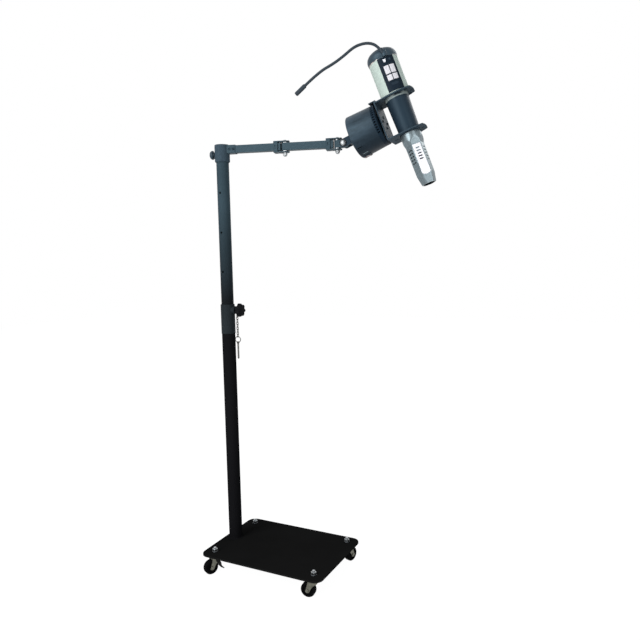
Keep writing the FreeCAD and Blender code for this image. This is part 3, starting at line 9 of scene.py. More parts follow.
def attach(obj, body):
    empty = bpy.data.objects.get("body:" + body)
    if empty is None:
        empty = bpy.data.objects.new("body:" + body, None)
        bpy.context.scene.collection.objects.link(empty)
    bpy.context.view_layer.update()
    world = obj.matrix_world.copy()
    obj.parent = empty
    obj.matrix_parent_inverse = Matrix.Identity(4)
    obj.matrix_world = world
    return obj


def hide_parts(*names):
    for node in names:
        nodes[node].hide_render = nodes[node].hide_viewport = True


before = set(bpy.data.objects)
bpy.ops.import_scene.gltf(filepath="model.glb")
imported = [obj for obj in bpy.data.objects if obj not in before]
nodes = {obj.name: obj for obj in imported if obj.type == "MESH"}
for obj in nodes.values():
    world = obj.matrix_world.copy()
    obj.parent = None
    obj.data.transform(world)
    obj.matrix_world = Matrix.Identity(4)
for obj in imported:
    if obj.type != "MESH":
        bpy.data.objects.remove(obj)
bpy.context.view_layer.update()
scene = bpy.context.scene

# Frames of the arm, the head, the dryer and its nozzle, from lengths in millimetres and angles in degrees

MM = 0.001
POST_X = -158
CLAMP_HEIGHT = 736
ARM_HEIGHT = 1184
ARM_LENGTH = 325.4
TILT_LINK_LENGTH = 21.5
DRYER_REACH = 172
ARM_YAW = 17.7
LINK_YAW = -13.6
HEAD_TILT = 20.7
DRYER_TURN = -65
NOZZLE_TURN = -4


def moved(x, y, z):
    return Matrix.Translation(Vector((x, y, z)) * MM)


def turned(angle, axis):
    return Matrix.Rotation(math.radians(angle), 4, axis)


ARM = moved(POST_X, 0, ARM_HEIGHT) @ turned(ARM_YAW, "Z")
LINK = ARM @ moved(ARM_LENGTH, 0, 0) @ turned(LINK_YAW, "Z")
HEAD = LINK @ moved(TILT_LINK_LENGTH, 0, 0) @ turned(-HEAD_TILT, "Y")
DRYER = HEAD @ moved(DRYER_REACH, 0, 0) @ turned(DRYER_TURN, "Z")
NOZZLE = DRYER @ turned(NOZZLE_TURN, "Z")

# Camera at the photograph's viewpoint, in metres and radians, with its lens in millimetres

CAMERA_PLACE = Vector((0.88579, -1.46281, 0.87869))
CAMERA_YAW = 0.4726
CAMERA_PITCH = 0.0995
CAMERA_ROLL = 0.0212
CAMERA_LENS = 34.985
SENSOR_WIDTH = 36


def make_camera():
    forward = Vector((-math.sin(CAMERA_YAW) * math.cos(CAMERA_PITCH),
                      math.cos(CAMERA_YAW) * math.cos(CAMERA_PITCH), -math.sin(CAMERA_PITCH)))
    level = Vector((math.cos(CAMERA_YAW), math.sin(CAMERA_YAW), 0))
    down = forward.cross(level)
    right = level * math.cos(CAMERA_ROLL) + down * math.sin(CAMERA_ROLL)
    up = level * math.sin(CAMERA_ROLL) - down * math.cos(CAMERA_ROLL)
    data = bpy.data.cameras.new("camera")
    data.sensor_width = SENSOR_WIDTH
    data.lens = CAMERA_LENS
    camera = bpy.data.objects.new("camera", data)
    scene.collection.objects.link(camera)
    turn = Matrix((right, up, -forward)).transposed().to_4x4()
    camera.matrix_world = Matrix.Translation(CAMERA_PLACE) @ turn
    scene.camera = camera


make_camera()

# Shader building

NOISE_RANGE = (0.3, 0.7)
SOFT_LIMIT = 0.0002
SOFT_RIM = 0.06
EDGE_BEND = (0.995, 0.80)
BEVEL_SAMPLES = 6


def srgb(red, green, blue):
    """A linear colour from 8-bit screen values."""
    def linear(value):
        value /= 255
        return value / 12.92 if value <= 0.04045 else ((value + 0.055) / 1.055) ** 2.4
    return linear(red), linear(green), linear(blue), 1.0


class Graph:
    """Builds shader nodes with short calls."""

    def __init__(self, node_tree):
        self.nodes = node_tree.nodes
        self.links = node_tree.links
        self.nodes.clear()

    def node(self, kind, inputs=(), **settings):
        made = self.nodes.new(kind)
        for key, value in settings.items():
            setattr(made, key, value)
        for key, value in dict(inputs).items():
            self.feed(made.inputs[key], value)
        return made

    def feed(self, socket, value):
        if isinstance(value, bpy.types.NodeSocket):
            self.links.new(value, socket)
        else:
            socket.default_value = value

    def math(self, operation, first, second=0.0, third=0.0):
        made = self.node("ShaderNodeMath", operation=operation)
        for socket, value in zip(made.inputs, (first, second, third)):
            self.feed(socket, value)
        return made.outputs[0]

    def direct_rays(self):
        """One for rays from the camera, from reflections and through glass."""
        rays = self.node("ShaderNodeLightPath").outputs
        seen = self.math("MAXIMUM", rays["Is Camera Ray"], rays["Is Glossy Ray"])
        return self.math("MAXIMUM", seen, rays["Is Transmission Ray"])

    def blend(self, factor, first, second):
        return self.node("ShaderNodeMixShader", {0: factor, 1: first, 2: second}).outputs[0]


class Tree(Graph):
    """A material's nodes around one principled shader."""

    def __init__(self, name):
        self.material = bpy.data.materials.new(name)
        self.material.use_nodes = True
        super().__init__(self.material.node_tree)
        self.output = self.nodes.new("ShaderNodeOutputMaterial")
        self.shader = self.nodes.new("ShaderNodeBsdfPrincipled")
        self.links.new(self.shader.outputs[0], self.output.inputs[0])
        self.point = self.node("ShaderNodeTexCoord").outputs["Object"]

    def along(self, origin, direction):
        """How far the shaded point lies from an origin along a direction, in metres."""
        away = self.node("ShaderNodeVectorMath", {0: self.point, 1: Vector(origin)}, operation="SUBTRACT")
        return self.node("ShaderNodeVectorMath", {0: away.outputs[0], 1: Vector(direction)},
                         operation="DOT_PRODUCT").outputs["Value"]

    def local(self, place):
        """The shaded point's coordinates in a frame, in metres, as three sockets."""
        return [self.along(place.translation, place.col[axis].to_3d()) for axis in range(3)]

    def stretched(self, place, factors):
        """The shaded point in a frame with its axes stretched, for a texture."""
        point = self.node("ShaderNodeCombineXYZ", dict(enumerate(self.local(place)))).outputs[0]
        return self.node("ShaderNodeVectorMath", {0: point, 1: Vector(factors)},
                         operation="MULTIPLY").outputs[0]

    def distance(self, first, second):
        """How far a point lies from the origin of two coordinates."""
        squares = [self.math("MULTIPLY", value, value) for value in (first, second)]
        return self.math("SQRT", self.math("ADD", *squares))

    def ramp(self, value, low, high, start=0.0, end=1.0):
        made = self.node("ShaderNodeMapRange", clamp=True)
        for key, number in zip(("Value", "From Min", "From Max", "To Min", "To Max"),
                               (value, low, high, start, end)):
            self.feed(made.inputs[key], number)
        return made.outputs[0]

    def spread(self, noise, start=0.0, end=1.0):
        """The usual range of a noise value, spread between two numbers."""
        return self.ramp(noise, *NOISE_RANGE, start, end)

    def within(self, value, low, high, soft=SOFT_LIMIT):
        """One where a value lies between two limits, with soft ends."""
        rise = self.ramp(value, low - soft, low + soft)
        fall = self.ramp(value, high - soft, high + soft, 1, 0)
        return self.math("MULTIPLY", rise, fall)

    def disc(self, first, second, centre_first, centre_second, half_first, half_second):
        """One inside an ellipse, with a soft rim."""
        parts = []
        for value, centre, half in ((first, centre_first, half_first),
                                    (second, centre_second, half_second)):
            scaled = self.math("DIVIDE", self.math("SUBTRACT", value, centre), half)
            parts.append(self.math("MULTIPLY", scaled, scaled))
        return self.ramp(self.math("ADD", *parts), 1 + SOFT_RIM, 1 - SOFT_RIM)

    def noise(self, scale, detail=3.0, roughness=0.5, point=None):
        """Noise over the object, or over another texture point."""
        return self.node("ShaderNodeTexNoise", {
            "Vector": self.point if point is None else point,
            "Scale": scale, "Detail": detail, "Roughness": roughness}).outputs[0]

    def mix(self, factor, first, second):
        made = self.node("ShaderNodeMix", data_type="RGBA")
        self.feed(made.inputs[0], factor)
        self.feed(made.inputs[6], first)
        self.feed(made.inputs[7], second)
        return made.outputs[2]

    def vary(self, color, amount, noise):
        """A colour that a noise value makes lighter and darker."""
        low = tuple(channel * (1 - amount) for channel in color[:3]) + (1.0,)
        high = tuple(min(1.0, channel * (1 + amount)) for channel in color[:3]) + (1.0,)
        return self.mix(self.spread(noise), low, high)

    def edges(self, radius):
        """The rounded normal of a small bevel, and one where the surface bends over an edge."""
        bevel = self.node("ShaderNodeBevel", {"Radius": radius}, samples=BEVEL_SAMPLES).outputs[0]
        flat = self.node("ShaderNodeNewGeometry").outputs["Normal"]
        together = self.node("ShaderNodeVectorMath", {0: bevel, 1: flat}, operation="DOT_PRODUCT")
        return bevel, self.ramp(together.outputs["Value"], *EDGE_BEND)

    def bump(self, height, strength, distance, normal=None):
        made = self.node("ShaderNodeBump", {"Height": height, "Strength": strength, "Distance": distance})
        if normal is not None:
            self.feed(made.inputs["Normal"], normal)
        return made.outputs[0]

    def set(self, **values):
        names = {"color": "Base Color", "rough": "Roughness", "metal": "Metallic", "normal": "Normal",
                 "coat": "Coat Weight", "coat_rough": "Coat Roughness", "specular": "Specular IOR Level",
                 "tint": "Specular Tint"}
        for key, value in values.items():
            self.feed(self.shader.inputs[names[key]], value)
        return self.material


# Kinds of surface. The widths and heights here are in metres

COOL = (0.62, 0.85, 1.0, 1.0)
PLAIN = (1.0, 1.0, 1.0, 1.0)
EDGE_WIDTH = 0.0006
SCUFF_RANGE = (0.50, 0.72)
WORN_GAIN = 2.2
WORN_LIFT = 0.03
# Heights in metres over which painted light lightens the upper tube
PAINTED_LIGHT_HEIGHTS = (0.76, 1.04)


def painted(name, color, rough=0.45, texture=0.07, vary=0.10, wear=0.35, specular=0.16, bright=None,
            tint=COOL):
    """Powder coat: fine orange peel, faint clouding, and a little shine rubbed onto the edges.
    With a second colour it grows lighter towards the top of the post, a painted gradient of light."""
    tree = Tree(name)
    clouds = tree.noise(9, 4)
    peel = tree.noise(900, 2)
    bevel, edge_mask = tree.edges(EDGE_WIDTH)
    scuffs = tree.ramp(tree.noise(130, 5), *SCUFF_RANGE)
    mask = tree.math("MULTIPLY", edge_mask, tree.math("MULTIPLY", scuffs, wear))
    worn = tuple(min(1.0, channel * WORN_GAIN + WORN_LIFT) for channel in color[:3]) + (1.0,)
    tinted = tree.vary(color, vary, clouds)
    if bright is not None:
        # painted light: the second colour takes over towards the top of the post
        height = tree.along((0, 0, 0), (0, 0, 1))
        tinted = tree.mix(tree.ramp(height, *PAINTED_LIGHT_HEIGHTS), tinted, tree.vary(bright, vary, clouds))
    return tree.set(color=tree.mix(mask, tinted, worn), specular=specular, tint=tint,
                    rough=tree.spread(clouds, rough - 0.05, rough + 0.06),
                    normal=tree.bump(peel, texture, 0.0002, bevel))


def plated(name, color, rough=0.22, vary=0.12):
    """Bright or dull plating: metallic, with soft stains and fine marks."""
    tree = Tree(name)
    stains = tree.noise(160, 4)
    return tree.set(color=tree.vary(color, vary, stains), metal=1.0,
                    rough=tree.spread(stains, rough - 0.05, rough + 0.10),
                    normal=tree.bump(tree.noise(1500, 2), 0.05, 0.0001))


def moulded(name, color, rough=0.35, grain=1400, texture=0.05, vary=0.05, coat=0.0, specular=0.3,
            metal=0.0, tint=PLAIN, marks=()):
    """Moulded plastic: fine grain and a slight tint change, with marks of other colours on it."""
    tree = Tree(name)
    clouds = tree.noise(22, 3)
    tinted = tree.vary(color, vary, clouds)
    for mask, mark_color in marks:
        tinted = tree.mix(mask(tree), tinted, mark_color)
    return tree.set(color=tinted, coat=coat, coat_rough=0.08, specular=specular, metal=metal, tint=tint,
                    rough=tree.spread(clouds, rough - 0.03, rough + 0.04),
                    normal=tree.bump(tree.noise(grain, 2), texture, 0.00012))


# Masks of the marks, painted shade and painted glints on the dryer and the drum, in metres in the frames
# of the dryer and the head

STRIP_MARK = (-0.0061, 0.1326, 0.0080, 0.00325, 0.0017)
STRIP_MARK_SOFT = 0.0001
STRIP_LAMP = (0.008, 0.133, 0.003)
STRIP_OVAL = (0.0, 0.070, 0.0100, 0.0041)
CAP_RIM = (0.1432, 0.1452)
CAP_RIM_END = (0.0328, 0.0322)
CAP_RIM_GLINTS = (0.42, 0.54, 0.25, 1.0)
BORE_RIM = (0.0158, 0.0152)
# Heights and sides of the painted shadow under the upper ring
NECK_SHADOW_HEIGHTS = (0.0425, 0.0503)
NECK_FRONT = (-0.013, 0.009)
NECK_FRONT_SOFT = 0.004
# Heights of the painted shade on the neck
NECK_SHADE_HEIGHTS = (0.0385, 0.0503)
PALE_MARK_REACH = (0.0430, 0.0570)
PALE_MARK_HALF = 0.0010
PALE_MARK_DEPTH = (0.045, 0.047)
PALE_MARK_TURN = math.radians(69)


def strip_mark(tree):
    """A small mark with sloping sides at the top of the control strip."""
    _, side, height = tree.local(DRYER)
    centre, level, tall, wide, slope = STRIP_MARK
    rise = tree.math("SUBTRACT", height, level)
    away = tree.math("ABSOLUTE", tree.math("SUBTRACT", side, centre))
    limit = tree.math("MULTIPLY_ADD", rise, slope / tall, wide)
    inside = tree.ramp(tree.math("SUBTRACT", limit, away), -STRIP_MARK_SOFT, STRIP_MARK_SOFT)
    return tree.math("MULTIPLY", inside, tree.within(height, level - tall / 2, level + tall / 2))


def strip_lamp(tree):
    """A round lamp lens at the top of the control strip."""
    _, side, height = tree.local(DRYER)
    centre, level, radius = STRIP_LAMP
    return tree.disc(side, height, centre, level, radius, radius)


def strip_oval(tree):
    """The oval recess below the buttons."""
    _, side, height = tree.local(DRYER)
    centre, level, half_wide, half_tall = STRIP_OVAL
    return tree.disc(side, height, centre, level, half_wide, half_tall)


def cap_rim_glints(tree):
    """The pale trim line around the cap's lower rim, shown as patches of painted glint."""
    ahead, _, height = tree.local(DRYER)
    line = tree.math("MULTIPLY", tree.within(height, *CAP_RIM), tree.ramp(ahead, *CAP_RIM_END))
    # painted glints: noise breaks the pale line into bright patches
    return tree.math("MULTIPLY", line, tree.ramp(tree.noise(90, 4), *CAP_RIM_GLINTS))


def nozzle_bore_shade(tree):
    """The bore of the nozzle, darkened inside with painted shade."""
    ahead, side, _ = tree.local(NOZZLE)
    return tree.ramp(tree.distance(ahead, side), *BORE_RIM)


def neck_painted_shadow(tree):
    """A painted shadow at the front of the neck, under the upper ring."""
    _, side, height = tree.local(DRYER)
    return tree.math("MULTIPLY", tree.within(height, *NECK_SHADOW_HEIGHTS),
                     tree.within(side, *NECK_FRONT, NECK_FRONT_SOFT))


def neck_painted_shade(tree):
    """Painted shade on the neck above the barrel, which greys the pale shell."""
    _, _, height = tree.local(DRYER)
    return tree.within(height, *NECK_SHADE_HEIGHTS)


def drum_pale_mark(tree):
    """A pale narrow mark in the drum's lower side."""
    reach = tree.along(HEAD.translation, HEAD.col[0].to_3d())
    side = HEAD.col[1].to_3d()
    up = HEAD.col[2].to_3d()
    outward_way = -(side * math.cos(PALE_MARK_TURN) + up * math.sin(PALE_MARK_TURN))
    across_way = side * math.sin(PALE_MARK_TURN) - up * math.cos(PALE_MARK_TURN)
    across = tree.within(tree.along(HEAD.translation, across_way), -PALE_MARK_HALF, PALE_MARK_HALF)
    mask = tree.math("MULTIPLY", tree.within(reach, *PALE_MARK_REACH), across)
    return tree.math("MULTIPLY", mask, tree.ramp(tree.along(HEAD.translation, outward_way), *PALE_MARK_DEPTH))


DRUM_STRETCH = (0.35, 1, 1)
DRUM_UNDERSIDE_SHADE = (0.0, -0.045)
DRUM_FRONT = (0.075, 0.105)


def drum_paint():
    """The motor's hammered coat, with soft bands around the drum and a pale narrow mark. It is darker at
    the front, and darker on the underside with painted shade."""
    tree = Tree("drum_coat")
    bands = tree.noise(60, 5, 0.65, tree.stretched(HEAD, DRUM_STRETCH))
    peel = tree.noise(420, 3)
    bevel, edge_mask = tree.edges(EDGE_WIDTH)
    reach, _, height = tree.local(HEAD)
    layers = (
        # painted shade: the underside of the drum grows darker
        (tree.ramp(height, *DRUM_UNDERSIDE_SHADE, 0.0, 0.88), srgb(16, 24, 32)),
        (tree.ramp(reach, *DRUM_FRONT, 0.0, 0.5), srgb(22, 32, 41)),
        (tree.math("MULTIPLY", edge_mask, 0.25), srgb(96, 108, 116)),
        (drum_pale_mark(tree), srgb(128, 146, 152)))
    color = tree.vary(srgb(50, 63, 73), 0.50, bands)
    for share, layer in layers:
        color = tree.mix(share, color, layer)
    return tree.set(color=color, rough=tree.spread(bands, 0.34, 0.48), specular=0.18, tint=COOL,
                    normal=tree.bump(peel, 0.24, 0.0003, bevel))


BOLT_COLLAR = (0.0067, 0.0070)


def bolt_plate():
    """The tilt bolt: a bright domed head in a dark collar."""
    tree = Tree("tilt_bolt_plate")
    stains = tree.noise(160, 4)
    reach, _, height = tree.local(HEAD)
    radius = tree.distance(reach, height)
    dome = tree.vary(srgb(176, 180, 182), 0.10, stains)
    return tree.set(color=tree.mix(tree.ramp(radius, *BOLT_COLLAR), dome, srgb(24, 28, 32)),
                    metal=tree.ramp(radius, *BOLT_COLLAR, 0.35, 0.0), specular=0.2,
                    rough=tree.spread(stains, 0.30, 0.42),
                    normal=tree.bump(tree.noise(1500, 2), 0.05, 0.0001))


MATERIALS = {
    "base_plate": painted("base_plate_coat", srgb(24, 24, 24), rough=0.6, wear=0.05, specular=0.0),
    "lower_tube": painted("lower_tube_coat", srgb(20, 20, 22), rough=0.5, wear=0.05, specular=0.0,
                          tint=PLAIN),
    "collar": painted("collar_coat", srgb(34, 39, 42), rough=0.42, specular=0.02, tint=PLAIN),
    # The upper tube grows lighter towards the top with painted light
    "upper_tube": painted("upper_tube_coat", srgb(22, 24, 26), rough=0.42, specular=0.02,
                          bright=srgb(52, 67, 75)),
    "swivel_sleeve": painted("sleeve_coat", srgb(58, 72, 82), rough=0.42, specular=0.02),
    "arm": painted("arm_coat", srgb(59, 75, 83), rough=0.42, specular=0.06),
    "head_bracket": painted("head_bracket_coat", srgb(36, 49, 60), rough=0.40, specular=0.06),
    "drum": drum_paint(),
    "front_ring": painted("front_ring_coat", srgb(24, 36, 47), rough=0.38, wear=0.2, specular=0.05),
    "cradle": painted("cradle_coat", srgb(54, 68, 78), rough=0.42, wear=0.15, specular=0.012,
                      texture=0.03),
    "zinc": plated("zinc_plate", srgb(158, 162, 164), rough=0.26, vary=0.25),
    "washer": plated("washer_plate", srgb(70, 74, 78), rough=0.34, vary=0.2),
    "dull_zinc": plated("dull_zinc_plate", srgb(104, 104, 95), rough=0.36, vary=0.25),
    "pedal": plated("pedal_plate", srgb(28, 28, 28), rough=0.36, vary=0.25),
    "bright": plated("nickel_plate", srgb(94, 94, 92), rough=0.24, vary=0.35),
    "dark_screw": moulded("black_oxide", srgb(42, 51, 58), rough=0.42, specular=0.02),
    "arm_screw": painted("arm_screw_coat", srgb(45, 59, 67), specular=0.05),
    "tilt_bolt": bolt_plate(),
    "wheel": moulded("wheel_rubber", srgb(13, 13, 14), rough=0.6, grain=700, texture=0.15,
                     specular=0.01),
    "black_plastic": moulded("black_plastic", srgb(21, 22, 24), rough=0.45, specular=0.02),
    "grip": moulded("lock_knob", srgb(46, 60, 70), rough=0.4, specular=0.2),
    "pale_plastic": moulded("pale_shell", srgb(180, 194, 187), rough=0.34, vary=0.006, texture=0.004,
                            # painted shade greying the neck
                            specular=0.01, marks=[(neck_painted_shade, srgb(132, 143, 142)),
                                                  # painted shadow under the upper ring
                                                  (neck_painted_shadow, srgb(40, 49, 56))]),
    "dark_plastic": moulded("dark_shell", srgb(29, 42, 53), rough=0.42, texture=0.02, tint=COOL,
                            specular=0.18),
    "cap": moulded("dark_cap", srgb(33, 46, 56), rough=0.46, texture=0.02, tint=COOL, specular=0.48,
                   # the pale trim line with painted glints
                   marks=[(cap_rim_glints, srgb(202, 190, 180))]),
    "strip": moulded("control_strip_face", srgb(26, 36, 46), rough=0.34, texture=0.02, specular=0.03,
                     marks=[(strip_oval, srgb(38, 49, 59)), (strip_lamp, srgb(46, 58, 68)),
                            (strip_mark, srgb(222, 224, 228))]),
    "button": moulded("button_face", srgb(208, 207, 212), rough=0.38, specular=0.05, vary=0.015,
                      texture=0.01),
    "panel": moulded("panel_face", srgb(232, 232, 236), rough=0.32, specular=0.10, vary=0.01,
                     texture=0.01),
    "dash": moulded("panel_dash", srgb(50, 47, 60), rough=0.5, specular=0.05),
    # Painted shade on the walls of the nozzle's slots
    "vent": moulded("vent_painted_shade", srgb(26, 34, 40), rough=0.6, specular=0.05),
    "nozzle": moulded("nozzle_grey", srgb(114, 126, 131), rough=0.27, specular=0.1, metal=0.6,
                      # painted shade inside the bore
                      vary=0.03, texture=0.01, marks=[(nozzle_bore_shade, srgb(38, 52, 58))]),
    "rocker": moulded("rocker_red", srgb(74, 20, 21), rough=0.25, coat=0.4),
    "cord": moulded("cord_rubber", srgb(44, 54, 62), rough=0.5, grain=900, texture=0.12, specular=0.2),
    "mica": plated("mica", srgb(130, 120, 100), rough=0.5),
}

NODE_MATERIALS = {
    "base_plate": "base_plate", "caster_studs": "zinc", "stud_washers": "washer", "stud_nuts": "zinc",
    "lower_tube": "lower_tube", "collar": "collar", "brake_lever": "pedal", "clamp_screw": "zinc",
    "height_knob": "black_plastic", "pin_chain": "bright", "split_ring": "bright", "lock_pin": "bright",
    "upper_tube": "upper_tube", "swivel_sleeve": "swivel_sleeve", "sleeve_cap": "swivel_sleeve",
    "arm_bracket": "arm", "bracket_screws": "arm_screw", "arm_tube_1": "arm", "elbow_fork_1": "arm",
    "elbow_bolt_1": "zinc", "fork_screws_1": "zinc", "top_knob": "grip",
    "arm_tube_2": "arm", "elbow_fork_2": "arm", "elbow_bolt_2": "zinc", "fork_screws_2": "zinc",
    "tilt_link": "arm", "tilt_bolt": "tilt_bolt", "head_bracket": "head_bracket", "motor_housing": "drum",
    "motor_front_ring": "front_ring", "gear_motor": "dull_zinc", "rocker_switch": "rocker",
    "turntable": "dark_screw", "cradle_bracket": "cradle", "cradle_screws": "dark_screw",
    "dryer_shell": "pale_plastic", "dryer_cap": "cap", "control_strip": "strip",
    "dryer_barrel": "dark_plastic", "dryer_nozzle": "nozzle", "nozzle_panel": "panel",
    "fan_motor": "dull_zinc", "heater": "mica", "fan": "black_plastic", "strain_relief": "cord",
    "connector": "cord", "cord": "cord",
}
for number in range(1, 5):
    NODE_MATERIALS[f"caster_fork_{number}"] = "dull_zinc"
    NODE_MATERIALS[f"caster_wheel_{number}"] = "wheel"
    NODE_MATERIALS[f"button_{number}"] = "button"
for node, material in NODE_MATERIALS.items():
    nodes[node].data.materials.clear()
    nodes[node].data.materials.append(MATERIALS[material])


# Meshes from rows of points, which are in millimetres in a frame

def placed(place, points):
    return [place @ (Vector(point) * MM) for point in points]


def round_angles(count):
    return [math.tau * step / count for step in range(count)]


def half_turn(start, steps):
    """Angles over half a turn from a start in degrees, with both ends."""
    return [math.radians(start + 180 * step / steps) for step in range(steps + 1)]


def row_faces(rows, count, closed=False):
    """Four-sided faces between rows of points. When closed, the last row joins the first."""
    faces = []
    for row in range(rows if closed else rows - 1):
        following = (row + 1) % rows
        for column in range(count):
            beside = (column + 1) % count
            faces.append((row * count + column, row * count + beside,
                          following * count + beside, following * count + column))
    return faces


def end_faces(rows, count):
    """The two faces over the first and the last row of points."""
    last = (rows - 1) * count
    return [tuple(range(count))[::-1], tuple(range(last, last + count))]


def joined(solids):
    """The points and faces of several solids, as those of one mesh."""
    points = []
    faces = []
    for new_points, new_faces in solids:
        faces += [tuple(corner + len(points) for corner in face) for face in new_faces]
        points += new_points
    return points, faces


def new_piece(name, points, faces):
    mesh = bpy.data.meshes.new(name)
    mesh.from_pydata(points, [], faces)
    mesh.validate()
    mesh.update()
    made = bpy.data.objects.new(name, mesh)
    scene.collection.objects.link(made)
    return made


def outward(made):
    """Turns every face to the outside."""
    work = bmesh.new()
    work.from_mesh(made.data)
    bmesh.ops.recalc_face_normals(work, faces=work.faces)
    work.to_mesh(made.data)
    work.free()


def smooth(made, sharp=None):
    """Smooth shading, with edges kept sharp from an angle in degrees."""
    for face in made.data.polygons:
        face.use_smooth = True
    if sharp is not None:
        made.data.set_sharp_from_angle(angle=math.radians(sharp))


MIDDLE_BAND = 0.5


def prism(outline, layers):
    """Points and faces of a solid over an outline, from layers of height and inset. Points in the
    middle band of the outline aren't moved sideways."""
    count = len(outline)
    middle_u = sum(u for u, _ in outline) / count
    middle_v = sum(v for _, v in outline) / count
    points = []
    for height, inset in layers:
        for u, v in outline:
            aside = math.copysign(inset, u - middle_u) if abs(u - middle_u) > MIDDLE_BAND else 0
            points.append((height, u - aside, v - math.copysign(inset, v - middle_v)))
    return points, row_faces(len(layers), count) + end_faces(len(layers), count)


SLOT_END_STEPS = 6


def slot_outline(centre, level, half, radius):
    """A slot with round ends, as a list of points."""
    outline = []
    for side in (1, -1):
        for angle in half_turn(-90, SLOT_END_STEPS):
            across = side * (half - radius + radius * math.cos(angle))
            outline.append((centre + across, level + side * radius * math.sin(angle)))
    return outline


CUT_SHARP = 28


def carve(made, cutters, outside, inside):
    """Cuts solids out of a piece. The new faces take the inside material."""
    solids = []
    for place, outline, layers in cutters:
        points, faces = prism(outline, layers)
        solids.append((placed(place, points), faces))
    tool = new_piece(made.name + "_tool", *joined(solids))
    outward(tool)
    outward(made)
    for owner in (made, tool):
        owner.data.materials.clear()
        for material in (outside, inside):
            owner.data.materials.append(MATERIALS[material])
    for face in tool.data.polygons:
        face.material_index = 1
    cut = made.modifiers.new("slots", "BOOLEAN")
    cut.operation = "DIFFERENCE"
    cut.solver = "EXACT"
    cut.object = tool
    graph = bpy.context.evaluated_depsgraph_get()
    made.data = bpy.data.meshes.new_from_object(made.evaluated_get(graph))
    made.modifiers.clear()
    bpy.data.objects.remove(tool)
    smooth(made, CUT_SHARP)


# The nozzle: a round crown that six flat sides cut into arches, with slots in the two side facets.
# The tables give a radius, or half the width across the flats, at falling levels

FACET_TURNS = range(0, 360, 60)
FACING_LIMIT = 0.2
CROWN = ((-50, 26.8), (-57, 27.3), (-81, 27.3), (-100, 24.6), (-168, 24.6), (-193, 19.2), (-194, 18.8))
FACETS = ((-50, 34.0), (-71, 27.3), (-81, 23.7), (-88.5, 21.6), (-168, 21.0), (-194, 17.0))
BORE = ((-50, 25), (-60, 25), (-90, 19.6), (-160, 19.2), (-169, 15), (-194, 15))
EDGE_SHARPNESS = 70
NOZZLE_POINTS = 180
LEVEL_SPANS = ((-50, 2, 8), (-65, 1, 27), (-93, 5, 15), (-166, 2, 3), (-173, 3, 7), (-192, 1, 3))
SLOT_TURNS = (-60, 60)
SLOT_CENTRES = (-3.9, 3.9)
SLOT_ROWS = 5
SLOT_FIRST = -101
SLOT_PITCH = 8.4
SLOT_SIZE = (2.9, 1.8)
SLOT_LAYERS = ((14, 0), (30, 0))


def level_value(table, level):
    """The value of a table of falling levels at one level."""
    for (high, first), (low, last) in zip(table, table[1:]):
        if level >= low:
            return first + (last - first) * (high - level) / (high - low)
    return table[-1][1]


def crown_radius(level, angle):
    """The nozzle's radius: the smallest of the crown and its six flat sides, with softened edges."""
    limits = [level_value(CROWN, level)]
    for turn in FACET_TURNS:
        facing = math.cos(angle - math.radians(turn))
        if facing > FACING_LIMIT:
            limits.append(level_value(FACETS, level) / facing)
    return sum(limit ** -EDGE_SHARPNESS for limit in limits) ** (-1 / EDGE_SHARPNESS)


def make_nozzle():
    angles = round_angles(NOZZLE_POINTS)
    levels = [start - step * index for start, step, count in LEVEL_SPANS for index in range(count)]
    rows = [(level, [crown_radius(level, angle) for angle in angles]) for level in levels]
    rows += [(level, [radius] * NOZZLE_POINTS) for level, radius in reversed(BORE)]
    points = [(radius * math.cos(angle), radius * math.sin(angle), level)
              for level, radii in rows for radius, angle in zip(radii, angles)]
    made = new_piece("nozzle", placed(NOZZLE, points), row_faces(len(rows), NOZZLE_POINTS, closed=True))
    slots = []
    for turn in SLOT_TURNS:
        for row in range(SLOT_ROWS):
            for centre in SLOT_CENTRES:
                outline = slot_outline(centre, SLOT_FIRST - SLOT_PITCH * row, *SLOT_SIZE)
                slots.append((NOZZLE @ turned(turn, "Z"), outline, SLOT_LAYERS))
    # the slot walls take painted shade
    carve(made, slots, "nozzle", "vent")
    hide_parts("dryer_nozzle")
    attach(made, "dryer")


# The nozzle's panel with its row of dashes. A side of its outline runs from the top edge to the tip

PANEL_SIDE = ((10.4, -91), (11.4, -165), (10.9, -167.6), (8.6, -169.6), (4.6, -171.4))
PANEL_TIP = (0, -172)
PANEL_TOP = ((9.4, -90), (-9.4, -90))
PANEL_LAYERS = ((20.0, 0), (21.7, 0), (22.1, 0.5))
DASH_CENTRE = 0.4
DASH_FIRST = -101
DASH_PITCH = 7.4
DASH_COUNT = 5
DASH_SIZE = (5.3, 1.7)
DASH_LAYERS = ((21.4, 0), (26, 0))


def make_nozzle_panel():
    outline = [(-u, v) for u, v in PANEL_SIDE] + [PANEL_TIP, *reversed(PANEL_SIDE), *PANEL_TOP]
    points, faces = prism(outline, PANEL_LAYERS)
    made = new_piece("nozzle_face", placed(NOZZLE, points), faces)
    dashes = []
    for row in range(DASH_COUNT):
        dash = slot_outline(DASH_CENTRE, DASH_FIRST - DASH_PITCH * row, *DASH_SIZE)
        dashes.append((NOZZLE, dash, DASH_LAYERS))
    carve(made, dashes, "panel", "dash")
    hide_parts("nozzle_panel")
    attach(made, "dryer")


make_nozzle()
make_nozzle_panel()

# The lock pin's chain of wire links, and the ring that holds the pin. Wires are given by their
# radius, and neighbours hang in each other with a small play

